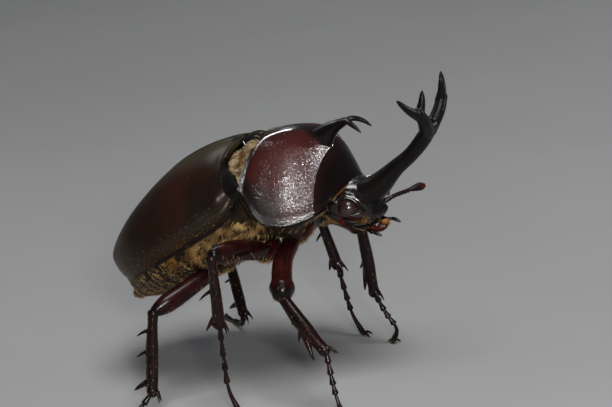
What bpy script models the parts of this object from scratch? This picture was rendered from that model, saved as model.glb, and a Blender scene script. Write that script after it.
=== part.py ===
"""Japanese rhinoceros beetle, a large male, life size, standing still on six legs.

Sizes are in millimetres and are turned into metres when a mesh is made.
X points forward, Y to the beetle's left and Z up from the floor.
The drawing's zero is on the floor, level with the right front foot, in the plane
of symmetry. ORIGIN_SHIFT moves it to the middle of the ground that the beetle covers.
"""
import math

import bmesh
import bpy
from mathutils import Matrix, Vector

# General sizes
MM = 0.001
ORIGIN_SHIFT = Vector((13.067, 0.397, 0.0))
# Gap between neighbours, and the wider one that sharp edged neighbours are cut with
GAP = 0.3
SHARP_GAP = 0.45
# Limit to how far a sharp corner of a grown solid is pushed out, in gaps
SHARPEST = 2.5
# Points closer than this many metres become one
MERGE = 0.000002
UP = Vector((0.0, 0.0, 1.0))
SIDES = {"right": -1.0, "left": 1.0}

# Hind body: its own axis rises to the front, from the base of the wing cases
BODY_BASE = Vector((-15.0, 0.0, 27.5))
BODY_PITCH = math.radians(28.0)
ALONG = Vector((math.cos(BODY_PITCH), 0.0, math.sin(BODY_PITCH)))
DORSAL = Vector((-math.sin(BODY_PITCH), 0.0, math.cos(BODY_PITCH)))

# Wing cases: suture line and lateral edge, from the base (0) to the tip (1),
# as along, height of the suture, then along, half width, height of the edge
ELYTRON_WALL = 0.8
ELYTRON_FULLNESS = 2.3
ELYTRON_ROWS = (
    (0.00, 2.2, 8.4, 2.2, 10.4, 2.0),
    (0.15, -2.5, 9.9, -1.5, 11.6, -0.2),
    (0.35, -9.5, 10.3, -8.0, 12.1, -0.5),
    (0.55, -16.6, 8.9, -14.6, 11.8, -0.3),
    (0.72, -22.2, 6.9, -20.0, 9.6, -0.3),
    (0.86, -25.5, 4.9, -23.6, 6.5, -0.3),
    (0.95, -25.5, 3.0, -24.6, 4.1, -0.1),
    (1.00, -24.8, 1.4, -24.7, 2.6, 0.0),
)

# Small shield between the wing cases: along and across, its base, rise and depth
SCUTELLUM_OUTLINE = (
    (2.6, -2.3), (2.9, -1.2), (3.0, 0.0), (2.9, 1.2), (2.6, 2.3),
    (0.9, 1.7), (-1.0, 0.7), (-1.9, 0.0), (-1.0, -0.7), (0.9, -1.7),
)
SCUTELLUM_BASE = 2.2
SCUTELLUM_RISE = 0.35
SCUTELLUM_DEPTH = 1.0

# Trunk under the wing cases: along, half width, height of the side, back, belly
TRUNK_ROWS = (
    (6.5, 8.2, -0.5, 5.4, -4.6),
    (4.6, 9.0, -0.5, 7.0, -5.4),
    (2.2, 9.4, -0.5, 6.9, -6.0),
    (-3.0, 10.3, -0.6, 8.2, -6.5),
    (-9.5, 10.8, -0.7, 8.8, -6.4),
    (-15.5, 10.4, -0.6, 7.9, -5.8),
    (-20.4, 8.2, -0.4, 5.6, -5.0),
    (-23.6, 5.7, -0.4, 3.5, -4.5),
    (-25.1, 4.1, -0.7, 1.5, -4.0),
    (-26.1, 3.1, -1.1, -0.4, -3.6),
)
TRUNK_FULLNESS = 2.2
MESOTHORAX_END = 1.2
METATHORAX_END = -9.5
ABDOMEN_END = -26.1
SEGMENT_ENDS = (-12.4, -15.2, -18.0, -20.8, -23.4)
SEGMENT_GROOVE = 0.22

# Pronotum: crest and lateral margin, from its hind edge (0) to its front edge (1),
# as crest x, crest z, then margin x, half width, margin z
PRONOTUM_ROWS = (
    (0.00, -14.4, 36.0, -14.1, 9.8, 31.1),
    (0.15, -12.9, 36.7, -12.6, 10.5, 28.85),
    (0.35, -10.0, 37.1, -10.6, 11.0, 26.4),
    (0.55, -7.0, 36.9, -7.4, 10.9, 25.95),
    (0.75, -4.8, 35.6, -4.9, 9.3, 26.3),
    (0.90, -3.2, 32.6, -3.2, 7.4, 27.0),
    (1.00, -1.3, 29.3, -2.4, 5.6, 27.8),
)
# Its arch is rounder in front, and its hind edge sways forward on each side
PRONOTUM_FULLNESS = ((0.0, 2.25), (0.5, 2.25), (0.8, 1.92), (1.0, 1.9))
PRONOTUM_SWAY = 0.95
# Underside of the front body, set in under the margin: place along the shield,
# then height and x of its lowest line
PROSTERNUM_INSET = 1.6
PROSTERNUM_ROWS = (
    (0.10, 25.4, -10.6),
    (0.35, 21.8, -9.4),
    (0.60, 21.4, -6.6),
    (0.85, 23.4, -4.2),
    (0.97, 25.4, -3.0),
)

# Head: crown, side and throat, from the neck (0) to the front edge (1)
HEAD_TURN = math.radians(-4.0)
HEAD_ROLL = math.radians(3.0)
HEAD_PIVOT = Vector((-3.0, 0.0, 27.0))
HEAD_FULLNESS = 2.3
HEAD_ROWS = (
    (0.00, -4.6, 29.0, -4.6, 4.2, 27.0, -4.6, 24.2),
    (0.25, -2.4, 29.7, -2.4, 4.8, 26.9, -2.4, 23.2),
    (0.50, 0.0, 29.6, -0.2, 4.5, 26.3, 0.0, 23.0),
    (0.75, 2.0, 28.4, 1.4, 3.5, 25.4, 1.6, 23.2),
    (0.90, 2.6, 26.4, 2.2, 2.8, 24.9, 2.3, 23.7),
    (1.00, 2.9, 25.0, 2.9, 2.2, 24.5, 2.8, 24.1),
)
EYE_CENTRE = Vector((-0.2, 4.1, 26.7))
EYE_RADIUS = 1.4

# Horns: lines in drawing millimetres for the left side, and rows of share along,
# half width and half height. Those of the head are given for the straight head.
THORACIC_STEM = ((-5.8, 0.0, 34.8), (-4.2, 0.0, 36.4), (-2.7, 0.0, 37.5), (-1.5, 0.0, 38.0))
THORACIC_STEM_SIZES = ((0.0, 2.1, 2.4), (0.4, 1.5, 1.6), (0.75, 1.05, 0.9), (1.0, 0.95, 0.6))
THORACIC_TINE = ((-2.2, 0.35, 37.7), (-0.9, 0.85, 38.25), (0.5, 1.3, 38.05), (1.7, 1.75, 36.5))
THORACIC_TINE_SIZES = ((0.0, 0.6, 0.6), (0.5, 0.5, 0.5), (1.0, 0.12, 0.12))
HORN_SHAFT = (
    (0.4, 0.0, 27.6), (3.0, 0.0, 29.2), (5.9, 0.0, 31.4),
    (8.6, 0.0, 33.3), (11.1, 0.0, 35.9), (12.1, 0.0, 37.6),
)
HORN_SHAFT_SIZES = (
    (0.0, 2.7, 2.6), (0.22, 1.9, 1.9), (0.42, 1.25, 1.15),
    (0.62, 1.05, 0.95), (0.85, 1.3, 1.0), (1.0, 1.7, 0.9),
)
HORN_BRANCH = ((11.7, 0.3, 36.6), (12.5, 2.2, 38.7), (12.6, 3.8, 40.5))
HORN_BRANCH_SIZES = ((0.0, 1.1, 1.0), (1.0, 0.85, 0.8))
OUTER_TINE = ((12.4, 3.4, 39.9), (12.0, 5.3, 41.3), (11.3, 6.8, 43.1))
INNER_TINE = ((12.5, 3.4, 39.9), (13.0, 3.1, 41.6), (13.2, 2.8, 43.3))
HORN_TINES = (
    (OUTER_TINE, ((0.0, 0.8, 0.75), (0.6, 0.55, 0.55), (1.0, 0.12, 0.12))),
    (INNER_TINE, ((0.0, 0.7, 0.7), (0.6, 0.5, 0.5), (1.0, 0.12, 0.12))),
)

# Mouth and antennae, in the same way
MOUTH = ((-1.4, 0.0, 22.9), (0.4, 0.0, 22.8), (2.2, 0.0, 23.1))
MOUTH_SIZES = ((0.0, 1.6, 0.8), (0.5, 2.1, 1.1), (1.0, 1.3, 0.7))
JAW = ((0.9, 1.2, 22.9), (2.0, 1.2, 23.0), (2.8, 0.6, 23.3))
JAW_SIZES = ((0.0, 0.7, 0.5), (1.0, 0.3, 0.3))
PALPS = {
    "right": ((0.4, -1.4, 22.4), (1.4, -2.0, 21.9), (2.6, -2.2, 21.3)),
    "left": ((1.4, 1.2, 22.8), (2.9, 2.2, 23.0), (4.0, 2.4, 22.5)),
}
PALP_SIZES = ((0.0, 0.27, 0.27), (1.0, 0.3, 0.3))
# Each antenna: line of its stalk, then both ends of its club
ANTENNAE = {
    "left": (((1.3, 2.6, 25.1), (2.9, 4.0, 25.8), (4.6, 5.2, 26.2)),
             ((4.4, 5.1, 26.2), (5.9, 6.9, 26.3))),
    "right": (((1.4, -2.6, 24.8), (1.9, -3.7, 24.6), (0.9, -4.4, 24.7)),
              ((1.0, -4.4, 24.7), (-1.1, -5.0, 24.9))),
}
STALK_SIZES = ((0.0, 0.42, 0.42), (0.3, 0.3, 0.3), (1.0, 0.3, 0.3))
CLUB_SIZES = ((0.0, 0.28, 0.28), (0.35, 0.4, 0.42), (0.75, 0.5, 0.55), (1.0, 0.42, 0.5))

# Legs: lines from the hip to the knee and on to the foot, and the way the claws point
LEGS = {
    ("fore", "right"): dict(
        coxa=((-8.2, -2.6, 23.6), (-9.6, -5.4, 22.0)),
        femur=((-9.2, -5.0, 22.2), (-9.2, -9.0, 20.2), (-7.8, -13.2, 17.0)),
        tibia=((-7.9, -13.4, 16.8), (-4.8, -14.4, 13.0), (-1.4, -15.0, 9.2)),
        tarsus=((-1.3, -15.0, 9.3), (-0.7, -15.5, 5.2), (0.1, -16.0, 2.0), (1.2, -16.6, 0.35)),
        claws=(0.9, -0.5, -0.3)),
    ("fore", "left"): dict(
        coxa=((-8.2, 2.6, 23.6), (-8.6, 5.4, 22.6)),
        femur=((-8.4, 5.0, 22.8), (-7.9, 8.6, 21.4), (-6.9, 12.1, 19.4)),
        tibia=((-6.9, 12.2, 19.2), (-6.6, 12.6, 13.6), (-6.4, 13.0, 8.2)),
        tarsus=((-6.4, 13.0, 8.3), (-5.2, 13.6, 5.0), (-4.0, 14.0, 2.4), (-4.9, 14.2, 0.35)),
        claws=(-0.2, 0.9, -0.3)),
    ("mid", "right"): dict(
        coxa=((-13.4, -3.6, 20.8), (-13.2, -6.6, 20.4)),
        femur=((-13.1, -6.0, 20.6), (-14.2, -11.0, 22.4), (-15.8, -16.6, 23.4)),
        tibia=((-16.0, -17.0, 23.0), (-15.9, -17.2, 18.2), (-16.2, -17.0, 13.4)),
        tarsus=((-16.1, -17.0, 13.6), (-16.1, -17.2, 8.6), (-15.9, -17.3, 4.0), (-14.6, -17.2, 0.35)),
        claws=(0.9, -0.2, -0.3)),
    ("mid", "left"): dict(
        coxa=((-13.4, 3.6, 20.8), (-13.2, 6.6, 20.4)),
        femur=((-13.1, 6.0, 20.6), (-14.2, 10.4, 21.8), (-15.4, 15.0, 21.8)),
        tibia=((-15.4, 15.3, 21.4), (-14.4, 15.8, 16.2), (-13.4, 16.2, 11.4)),
        tarsus=((-13.4, 16.2, 11.6), (-12.9, 16.6, 7.2), (-12.3, 17.0, 3.4), (-11.1, 17.4, 0.35)),
        claws=(0.9, 0.2, -0.3)),
    ("hind", "right"): dict(
        coxa=((-20.4, -4.0, 18.9), (-21.3, -7.6, 18.7)),
        femur=((-21.2, -7.2, 18.4), (-23.6, -11.4, 16.7), (-26.6, -15.8, 14.9)),
        tibia=((-26.9, -16.2, 14.7), (-27.4, -17.2, 9.2), (-27.7, -18.2, 3.4)),
        tarsus=((-27.7, -18.2, 3.6), (-29.6, -19.8, 1.4), (-32.6, -22.0, 0.6), (-36.4, -24.4, 0.35)),
        claws=(-0.85, -0.5, -0.2)),
    ("hind", "left"): dict(
        coxa=((-20.4, 4.0, 18.9), (-21.3, 7.6, 18.7)),
        femur=((-21.4, 7.0, 18.4), (-25.6, 10.2, 17.1), (-29.8, 13.0, 15.0)),
        tibia=((-30.1, 13.3, 14.6), (-30.4, 15.0, 9.0), (-30.6, 16.6, 3.4)),
        tarsus=((-30.6, 16.6, 3.6), (-31.8, 18.2, 1.4), (-34.4, 20.8, 0.6), (-37.6, 23.6, 0.35)),
        claws=(-0.85, 0.5, -0.2)),
}
COXA_SIZES = ((0.0, 1.5, 1.4), (0.5, 1.6, 1.5), (1.0, 1.2, 1.2))
# Thigh and shin of each pair: rows of share along, half width and half height
FEMUR_SIZES = {
    "fore": ((0.0, 1.1, 1.2), (0.5, 1.4, 1.45), (0.8, 1.5, 1.6), (0.92, 1.8, 1.85), (1.0, 1.5, 1.6)),
    "mid": ((0.0, 1.0, 1.2), (0.4, 1.25, 1.4), (0.75, 1.3, 1.55), (0.92, 1.1, 1.3), (1.0, 0.9, 1.0)),
    "hind": ((0.0, 1.0, 1.2), (0.4, 1.15, 1.3), (0.8, 1.2, 1.4), (0.93, 1.0, 1.15), (1.0, 0.8, 0.9)),
}
TIBIA_SIZES = {
    "fore": ((0.0, 0.95, 0.8), (0.12, 0.85, 0.76), (0.4, 1.0, 0.8), (0.6, 1.0, 0.8), (1.0, 0.85, 0.75)),
    "mid": ((0.0, 0.8, 0.75), (0.15, 0.66, 0.68), (0.4, 0.75, 0.75), (0.8, 0.85, 0.8), (1.0, 0.9, 0.8)),
    "hind": ((0.0, 0.8, 0.75), (0.15, 0.74, 0.7), (0.45, 0.9, 0.8), (0.8, 0.88, 0.82), (1.0, 0.75, 0.75)),
}
# Radius of a spine along it, as shares of the radius at its root
SPINE_TAPER = ((0.0, 1.0), (0.5, 0.66), (1.0, 0.2))
# Spines of a shin: share of its length, then how far the root and the tip stand out from
# its middle line, how far the tip lies on towards the foot, and the radius at the root
TIBIA_SPINES = {
    "fore": ((0.38, 0.3, 1.3, 0.5, 0.4), (0.53, 0.3, 2.0, 1.4, 0.42), (0.64, 0.6, 1.95, 3.75, 0.55)),
    "mid": ((0.45, 0.3, 2.5, 1.6, 0.4), (0.85, 0.3, 1.9, 2.15, 0.48)),
    "hind": ((0.21, 0.3, 2.25, 1.0, 0.4), (0.47, 0.3, 2.2, 1.0, 0.4), (0.85, 0.3, 2.5, 1.35, 0.6)),
}
# Spur at the end of a shin: root and tip as along, out and across from its foot
SPUR = ((-0.3, -0.7, 0.25), (1.3, -1.2, 0.65))
SPUR_RADIUS = 0.3
# Way in which the spines stand out, with its sideways part given for the left side
SPINES_OUT = {"fore": (-0.75, 0.3, -0.6), "mid": (-1.0, 0.25, 0.0), "hind": (-1.0, 0.25, 0.0)}
# Links of a foot, each a row of share along it and radius
TARSOMERES = 5
TARSOMERE_SHAPE = ((0.0, 0.3), (0.7, 0.5), (0.96, 0.4))

# Colours, roughness
SHELL_BLACK = ((0.018, 0.008, 0.007), 0.22)
SHIELD_MAROON = ((0.075, 0.012, 0.009), 0.25)
WING_CASE_BROWN = ((0.035, 0.014, 0.009), 0.42)
LEG_RED_BLACK = ((0.040, 0.007, 0.006), 0.2)
HAIRY_BROWN = ((0.20, 0.12, 0.045), 0.7)
EYE_BROWN = ((0.06, 0.02, 0.02), 0.08)
MOUTH_RED = ((0.14, 0.025, 0.012), 0.35)


def metres(point):
    """Drawing point in millimetres to a place in metres."""
    return (Vector(point) + ORIGIN_SHIFT) * MM


def on_body(along, across, height):
    """Point of the hind body's own frame, in drawing millimetres."""
    return BODY_BASE + ALONG * along + Vector((0.0, across, 0.0)) + DORSAL * height


def on_head(point, side=1.0):
    """Point of the straight head, turned and rolled as the head is held."""
    turn = Matrix.Rotation(HEAD_TURN, 4, "Z") @ Matrix.Rotation(HEAD_ROLL, 4, "X")
    local = Vector((point[0], point[1] * side, point[2])) - HEAD_PIVOT
    return turn @ local + HEAD_PIVOT


def smooth_rows(rows, t):
    """Values at t on a smooth curve through rows of t and its values."""
    ordered = rows if rows[0][0] < rows[-1][0] else rows[::-1]
    last = len(ordered) - 1
    passed = sum(1 for row in ordered if row[0] <= t) - 1
    i = min(max(passed, 0), last - 1)
    span = ordered[i + 1][0] - ordered[i][0]
    f = min(max((t - ordered[i][0]) / span, 0.0), 1.0)

    def slope(k, column):
        before, after = ordered[max(k - 1, 0)], ordered[min(k + 1, last)]
        return (after[column] - before[column]) / (after[0] - before[0]) * span

    values = []
    for column in range(1, len(ordered[0])):
        start, end = ordered[i][column], ordered[i + 1][column]
        values.append(start * (2 * f**3 - 3 * f**2 + 1) + slope(i, column) * (f**3 - 2 * f**2 + f)
                      + end * (3 * f**2 - 2 * f**3) + slope(i + 1, column) * (f**3 - f**2))
    return values


def smooth_path(points, stations):
    """Points at the given shares of a smooth curve through a few drawn points."""
    reach = [0.0]
    for a, b in zip(points, points[1:]):
        reach.append(reach[-1] + (Vector(b) - Vector(a)).length)
    rows = [(d / reach[-1], *p) for d, p in zip(reach, points)]
    return [Vector(smooth_rows(rows, t)) for t in stations]


def rounded(angle, fullness):
    """Rise and reach of a full, rounded arch at an angle from its top."""
    rise = math.copysign(abs(math.cos(angle)) ** (2 / fullness), math.cos(angle))
    reach = math.copysign(abs(math.sin(angle)) ** (2 / fullness), math.sin(angle))
    return rise, reach


def finish(obj, look):
    """Give an object a material of its own."""
    colour, roughness = look
    material = bpy.data.materials.new(obj.name)
    material.use_nodes = True
    shader = material.node_tree.nodes["Principled BSDF"]
    shader.inputs["Base Color"].default_value = (*colour, 1.0)
    shader.inputs["Roughness"].default_value = roughness
    shader.inputs["Metallic"].default_value = 0.0
    obj.data.materials.clear()
    obj.data.materials.append(material)


def mesh_object(name, mesh):
    """Object of a finished bmesh, in triangles that point out."""
    bmesh.ops.remove_doubles(mesh, verts=mesh.verts[:], dist=MERGE)
    bmesh.ops.triangulate(mesh, faces=mesh.faces[:])
    bmesh.ops.recalc_face_normals(mesh, faces=mesh.faces[:])
    data = bpy.data.meshes.new(name)
    mesh.to_mesh(data)
    mesh.free()
    obj = bpy.data.objects.new(name, data)
    bpy.context.scene.collection.objects.link(obj)
    return obj


def loft(name, rings, tip=None):
    """Closed solid through rings of equal length; tip closes the last ring to a point."""
    mesh = bmesh.new()
    loops = [[mesh.verts.new(metres(p)) for p in ring] for ring in rings]
    for low, high in zip(loops, loops[1:]):
        for k in range(len(low)):
            n = (k + 1) % len(low)
            mesh.faces.new((low[k], low[n], high[n], high[k]))
    ends = [(loops[0], None), (loops[-1], tip)]
    for loop, point in ends:
        middle = metres(point) if point else sum((v.co for v in loop), Vector()) / len(loop)
        centre = mesh.verts.new(middle)
        for k in range(len(loop)):
            mesh.faces.new((loop[k], loop[(k + 1) % len(loop)], centre))
    return mesh_object(name, mesh)


def plate(name, outer, inner):
    """Closed curved plate between two grids of points of the same size."""
    mesh = bmesh.new()
    faces = [[[mesh.verts.new(metres(p)) for p in row] for row in grid] for grid in (outer, inner)]
    rows, columns = len(outer), len(outer[0])
    for grid in faces:
        for i in range(rows - 1):
            for j in range(columns - 1):
                mesh.faces.new((grid[i][j], grid[i][j + 1], grid[i + 1][j + 1], grid[i + 1][j]))
    border = [(i, 0) for i in range(rows)] + [(rows - 1, j) for j in range(1, columns)]
    border += [(i, columns - 1) for i in range(rows - 2, -1, -1)]
    border += [(0, j) for j in range(columns - 2, 0, -1)]
    top, bottom = faces
    for a, b in zip(border, border[1:] + border[:1]):
        mesh.faces.new((top[a[0]][a[1]], top[b[0]][b[1]], bottom[b[0]][b[1]], bottom[a[0]][a[1]]))
    return mesh_object(name, mesh)


def tube(name, points, sizes, rings=7, sides=8, upright=UP, pointed=False, stations=None):
    """Closed limb along a smooth path.

    sizes are rows of t, half width and half height, and upright is the direction
    in which the half height is measured. A pointed tube ends at its last point,
    a blunt one in a low dome. stations are the places of its rings, even if not given.
    """
    stations = stations or [k / (rings - 1) for k in range(rings)]
    path = smooth_path(points, stations)
    loops = []
    for k, place in enumerate(path):
        heading = (path[min(k + 1, len(path) - 1)] - path[max(k - 1, 0)]).normalized()
        across = heading.cross(upright).normalized()
        above = across.cross(heading).normalized()
        half_width, half_height = smooth_rows(sizes, stations[k])
        loops.append([place + across * half_width * math.cos(math.tau * i / sides)
                      + above * half_height * math.sin(math.tau * i / sides) for i in range(sides)])
    heading = (path[-1] - path[-2]).normalized()
    if pointed:
        return loft(name, loops[:-1], tip=path[-1])
    dome = min(smooth_rows(sizes, 1.0))
    shoulder = [path[-1] + (p - path[-1]) * 0.72 + heading * dome * 0.55 for p in loops[-1]]
    return loft(name, loops + [shoulder], tip=path[-1] + heading * dome * 0.75)


def spine(name, root, tip, radius, bend=Vector((0.0, 0.0, 0.0)), sides=5):
    """Short pointed spine, bent a little on its way to the tip."""
    middle = (Vector(root) + Vector(tip)) / 2 + bend
    sizes = [(t, radius * share, radius * share) for t, share in SPINE_TAPER]
    return tube(name, (root, middle, tip), sizes, rings=4, sides=sides, pointed=True)


def ball(name, centre, radius, segments=14, rings=9):
    """Round ball of a given radius."""
    loops = []
    for k in range(1, rings):
        polar = math.pi * k / rings
        loops.append([Vector(centre) + Vector((math.cos(math.tau * i / segments) * math.sin(polar),
                                               math.sin(math.tau * i / segments) * math.sin(polar),
                                               math.cos(polar))) * radius for i in range(segments)])
    mesh = bmesh.new()
    rows = [[mesh.verts.new(metres(p)) for p in loop] for loop in loops]
    for low, high in zip(rows, rows[1:]):
        for i in range(segments):
            n = (i + 1) % segments
            mesh.faces.new((low[i], low[n], high[n], high[i]))
    for loop, height in ((rows[0], radius), (rows[-1], -radius)):
        pole = mesh.verts.new(metres(Vector(centre) + UP * height))
        for i in range(segments):
            mesh.faces.new((loop[i], loop[(i + 1) % segments], pole))
    return mesh_object(name, mesh)


def apply_modifiers(obj):
    """Make the shape that the modifiers give the object's own mesh."""
    bpy.context.view_layer.update()
    graph = bpy.context.evaluated_depsgraph_get()
    data = bpy.data.meshes.new_from_object(obj.evaluated_get(graph))
    obj.modifiers.clear()
    old = obj.data
    obj.data = data
    bpy.data.meshes.remove(old)


def is_closed(obj):
    """Whether the object's mesh has faces, with two of them along every edge."""
    mesh = bmesh.new()
    mesh.from_mesh(obj.data)
    closed = len(mesh.faces) > 0 and all(edge.is_manifold for edge in mesh.edges)
    mesh.free()
    return closed


def keep_largest(obj):
    """Keep only the largest closed surface of a union or a cut."""
    mesh = bmesh.new()
    mesh.from_mesh(obj.data)
    bmesh.ops.triangulate(mesh, faces=mesh.faces[:])
    unseen = set(mesh.faces)
    groups = []
    while unseen:
        stack = [unseen.pop()]
        group = []
        while stack:
            face = stack.pop()
            group.append(face)
            for edge in face.edges:
                for other in edge.link_faces:
                    if other in unseen:
                        unseen.remove(other)
                        stack.append(other)
        groups.append(group)
    groups.sort(key=lambda group: sum(face.calc_area() for face in group))
    scraps = [face for group in groups[:-1] for face in group]
    bmesh.ops.delete(mesh, geom=scraps, context="FACES")
    mesh.to_mesh(obj.data)
    mesh.free()


def combine(obj, operation, other):
    """Apply one Boolean with an object or a collection, by MANIFOLD where EXACT fails."""
    before = obj.data.copy()
    for solver in ("EXACT", "MANIFOLD"):
        step = obj.modifiers.new("combine", "BOOLEAN")
        step.operation = operation
        step.solver = solver
        step.use_self = solver == "EXACT"
        if isinstance(other, bpy.types.Collection):
            step.operand_type = "COLLECTION"
            step.collection = other
        else:
            step.object = other
        apply_modifiers(obj)
        if is_closed(obj):
            break
        if solver == "EXACT":
            obj.data = before.copy()
    bpy.data.meshes.remove(before)


def fuse(name, pieces):
    """One closed body out of overlapping closed pieces, by a single Boolean union."""
    body, rest = pieces[0], pieces[1:]
    body.name = name
    body.data.name = name
    if rest:
        group = bpy.data.collections.new(name + "_pieces")
        bpy.context.scene.collection.children.link(group)
        for piece in rest:
            bpy.context.scene.collection.objects.unlink(piece)
            group.objects.link(piece)
        combine(body, "UNION", group)
        for piece in rest:
            bpy.data.objects.remove(piece)
        bpy.data.collections.remove(group)
    keep_largest(body)
    return body


def grown(obj, distance):
    """Copy of a solid whose surface stands a distance outside the solid's own."""
    mesh = bmesh.new()
    mesh.from_mesh(obj.data)
    mesh.normal_update()
    moves = [(v, v.normal * distance * MM * min(v.calc_shell_factor(), SHARPEST)) for v in mesh.verts]
    for vertex, move in moves:
        vertex.co += move
    return mesh_object(obj.name + "_grown", mesh)


def clear_of(obj, *neighbours, gap=GAP):
    """Cut an object back, so that it meets its neighbours face to face across the gap."""
    for neighbour in neighbours:
        cutter = grown(neighbour, gap)
        combine(obj, "DIFFERENCE", cutter)
        bpy.data.objects.remove(cutter)
    keep_largest(obj)
    return obj


def flat_sole(obj):
    """Cut off what lies under the floor, which leaves a small flat there."""
    mesh = bmesh.new()
    mesh.from_mesh(obj.data)
    cut = bmesh.ops.bisect_plane(mesh, geom=mesh.verts[:] + mesh.edges[:] + mesh.faces[:],
                                 dist=MERGE / 20, plane_co=(0, 0, 0), plane_no=(0, 0, -1), clear_outer=True)
    rim = [e for e in cut["geom_cut"] if isinstance(e, bmesh.types.BMEdge)]
    bmesh.ops.holes_fill(mesh, edges=rim, sides=0)
    bmesh.ops.triangulate(mesh, faces=mesh.faces[:])
    mesh.to_mesh(obj.data)
    mesh.free()
    keep_largest(obj)


def elytron_surface(inset, side, rows=15, columns=9):
    """Grid of points on a wing case, a depth below its outer surface."""
    grid = []
    for i in range(rows):
        t = i / (rows - 1)
        crest_u, crest_w, edge_u, edge_y, edge_w = smooth_rows(ELYTRON_ROWS, t)
        crest, edge = Vector((crest_u, crest_w)), Vector((edge_u, edge_w))
        height = crest - edge
        shrink = max(height.length - inset, height.length * 0.45) / height.length
        half_width = max(edge_y - inset, edge_y * 0.6)
        slip = edge + Vector((min(inset, 0.3) * t, 0.0))
        line = []
        for j in range(columns):
            rise, reach = rounded(math.pi / 2 * j / (columns - 1), ELYTRON_FULLNESS)
            point = slip + height * shrink * rise
            line.append(on_body(point.x, side * (GAP / 2 + half_width * reach), point.y))
        grid.append(line)
    return grid


def make_wing_cases():
    """The two wing cases, which meet along the middle of the back."""
    cases = []
    for name, side in SIDES.items():
        case = plate("elytron_" + name, elytron_surface(0.0, side), elytron_surface(ELYTRON_WALL, side))
        keep_largest(case)
        finish(case, WING_CASE_BROWN)
        cases.append(case)
    return cases


def trunk_ring(along, groove=0.0, points=22):
    """Section of the trunk across its axis, shrunk on its lower half by a groove."""
    half_width, side_w, back_w, belly_w = smooth_rows(TRUNK_ROWS, along)
    ring = []
    for k in range(points):
        rise, reach = rounded(math.tau * k / points, TRUNK_FULLNESS)
        height = back_w - side_w if rise > 0 else side_w - belly_w - groove
        width = half_width - (groove if rise < 0.05 else 0.0)
        ring.append(on_body(along, width * reach, side_w + height * rise))
    return ring


def make_trunk():
    """Middle and hind thorax, belly segments and the plate that closes them behind."""
    half = GAP / 2
    fore = [6.5, 5.4, 3.6, MESOTHORAX_END + half]
    mesothorax = loft("mesothorax", [trunk_ring(u) for u in fore])
    hind = [MESOTHORAX_END - half, -1.6, -4.4, -7.2, METATHORAX_END + half]
    metathorax = loft("metathorax", [trunk_ring(u) for u in hind])
    stations = [(METATHORAX_END - half, 0.0)]
    for end in SEGMENT_ENDS:
        stations += [(end + 0.9, 0.0), (end, SEGMENT_GROOVE)]
    stations += [(ABDOMEN_END + 1.3, 0.0), (ABDOMEN_END + 0.5, 0.0), (ABDOMEN_END, 0.0)]
    abdomen = loft("abdomen", [trunk_ring(u, groove) for u, groove in stations])
    for node in (mesothorax, metathorax, abdomen):
        finish(node, HAIRY_BROWN)
    return mesothorax, metathorax, abdomen


def make_pygidium():
    """Convex plate at the end of the belly, under the tips of the wing cases."""
    middle_w, half_width, half_height = -2.35, 3.0, 1.25
    rings = []
    for back, scale in ((ABDOMEN_END - GAP, 1.0), (ABDOMEN_END - 0.85, 0.86), (ABDOMEN_END - 1.2, 0.5)):
        ring = []
        for k in range(14):
            rise, reach = rounded(math.tau * k / 14, 2.2)
            ring.append(on_body(back, half_width * scale * reach, middle_w + half_height * scale * rise))
        rings.append(ring)
    tail = loft("pygidium", rings, tip=on_body(ABDOMEN_END - 1.3, 0.0, middle_w))
    finish(tail, SHELL_BLACK)
    return tail


def make_scutellum():
    """Small triangular shield between the bases of the wing cases."""
    base_w, slope, fall = 8.15, -0.33, 0.045

    def height(along, across):
        return base_w + slope * (along - SCUTELLUM_BASE) - fall * across**2

    top = [on_body(u, y, height(u, y) + SCUTELLUM_RISE) for u, y in SCUTELLUM_OUTLINE]
    low = [on_body(u, y, height(u, y) - SCUTELLUM_DEPTH) for u, y in SCUTELLUM_OUTLINE]
    shield = loft("scutellum", [low, top])
    keep_largest(shield)
    finish(shield, SHELL_BLACK)
    return shield


def pronotum_section(t):
    """Crest, margin and half width of the front shield at a place along it."""
    crest_x, crest_z, edge_x, edge_y, edge_z = smooth_rows(PRONOTUM_ROWS, t)
    return Vector((crest_x, 0.0, crest_z)), Vector((edge_x, 0.0, edge_z)), edge_y


def make_pronotum(stations=15, columns=17):
    """Domed front shield with a low, flat underside inside its margin."""
    rings = []
    for i in range(stations):
        t = i / (stations - 1)
        crest, edge, half_width = pronotum_section(t)
        fullness = smooth_rows(PRONOTUM_FULLNESS, t)[0]
        ring = []
        for j in range(columns):
            angle = -math.pi / 2 + math.pi * j / (columns - 1)
            rise, reach = rounded(angle, fullness)
            sway = PRONOTUM_SWAY * (1 - t)**3 * abs(math.sin(2 * angle))
            ring.append(edge + (crest - edge) * rise + Vector((sway, half_width * reach, 0.0)))
        for share in (0.75, 0.4, 0.0, -0.4, -0.75):
            ring.append(edge + Vector((0.0, half_width * share, 0.35 * (1 - share**2))))
        rings.append(ring)
    shield = loft("pronotum", rings)
    keep_largest(shield)
    finish(shield, SHIELD_MAROON)
    return shield


def make_prosternum(pronotum, points=18):
    """Underside of the front body, set in under the margin of the shield."""
    rings = []
    for t, keel_z, keel_x in PROSTERNUM_ROWS:
        _, edge, half_width = pronotum_section(t)
        keel = Vector((keel_x, 0.0, keel_z))
        ring = []
        for k in range(points):
            rise, reach = rounded(math.tau * k / points, 2.2)
            centre = edge - UP * 0.2
            drop = (keel - centre) * -rise if rise < 0 else UP * 1.0 * rise
            ring.append(centre + drop + Vector((0.0, (half_width - PROSTERNUM_INSET) * reach, 0.0)))
        rings.append(ring)
    underside = loft("prosternum", rings)
    clear_of(underside, pronotum)
    finish(underside, HAIRY_BROWN)
    return underside


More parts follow.
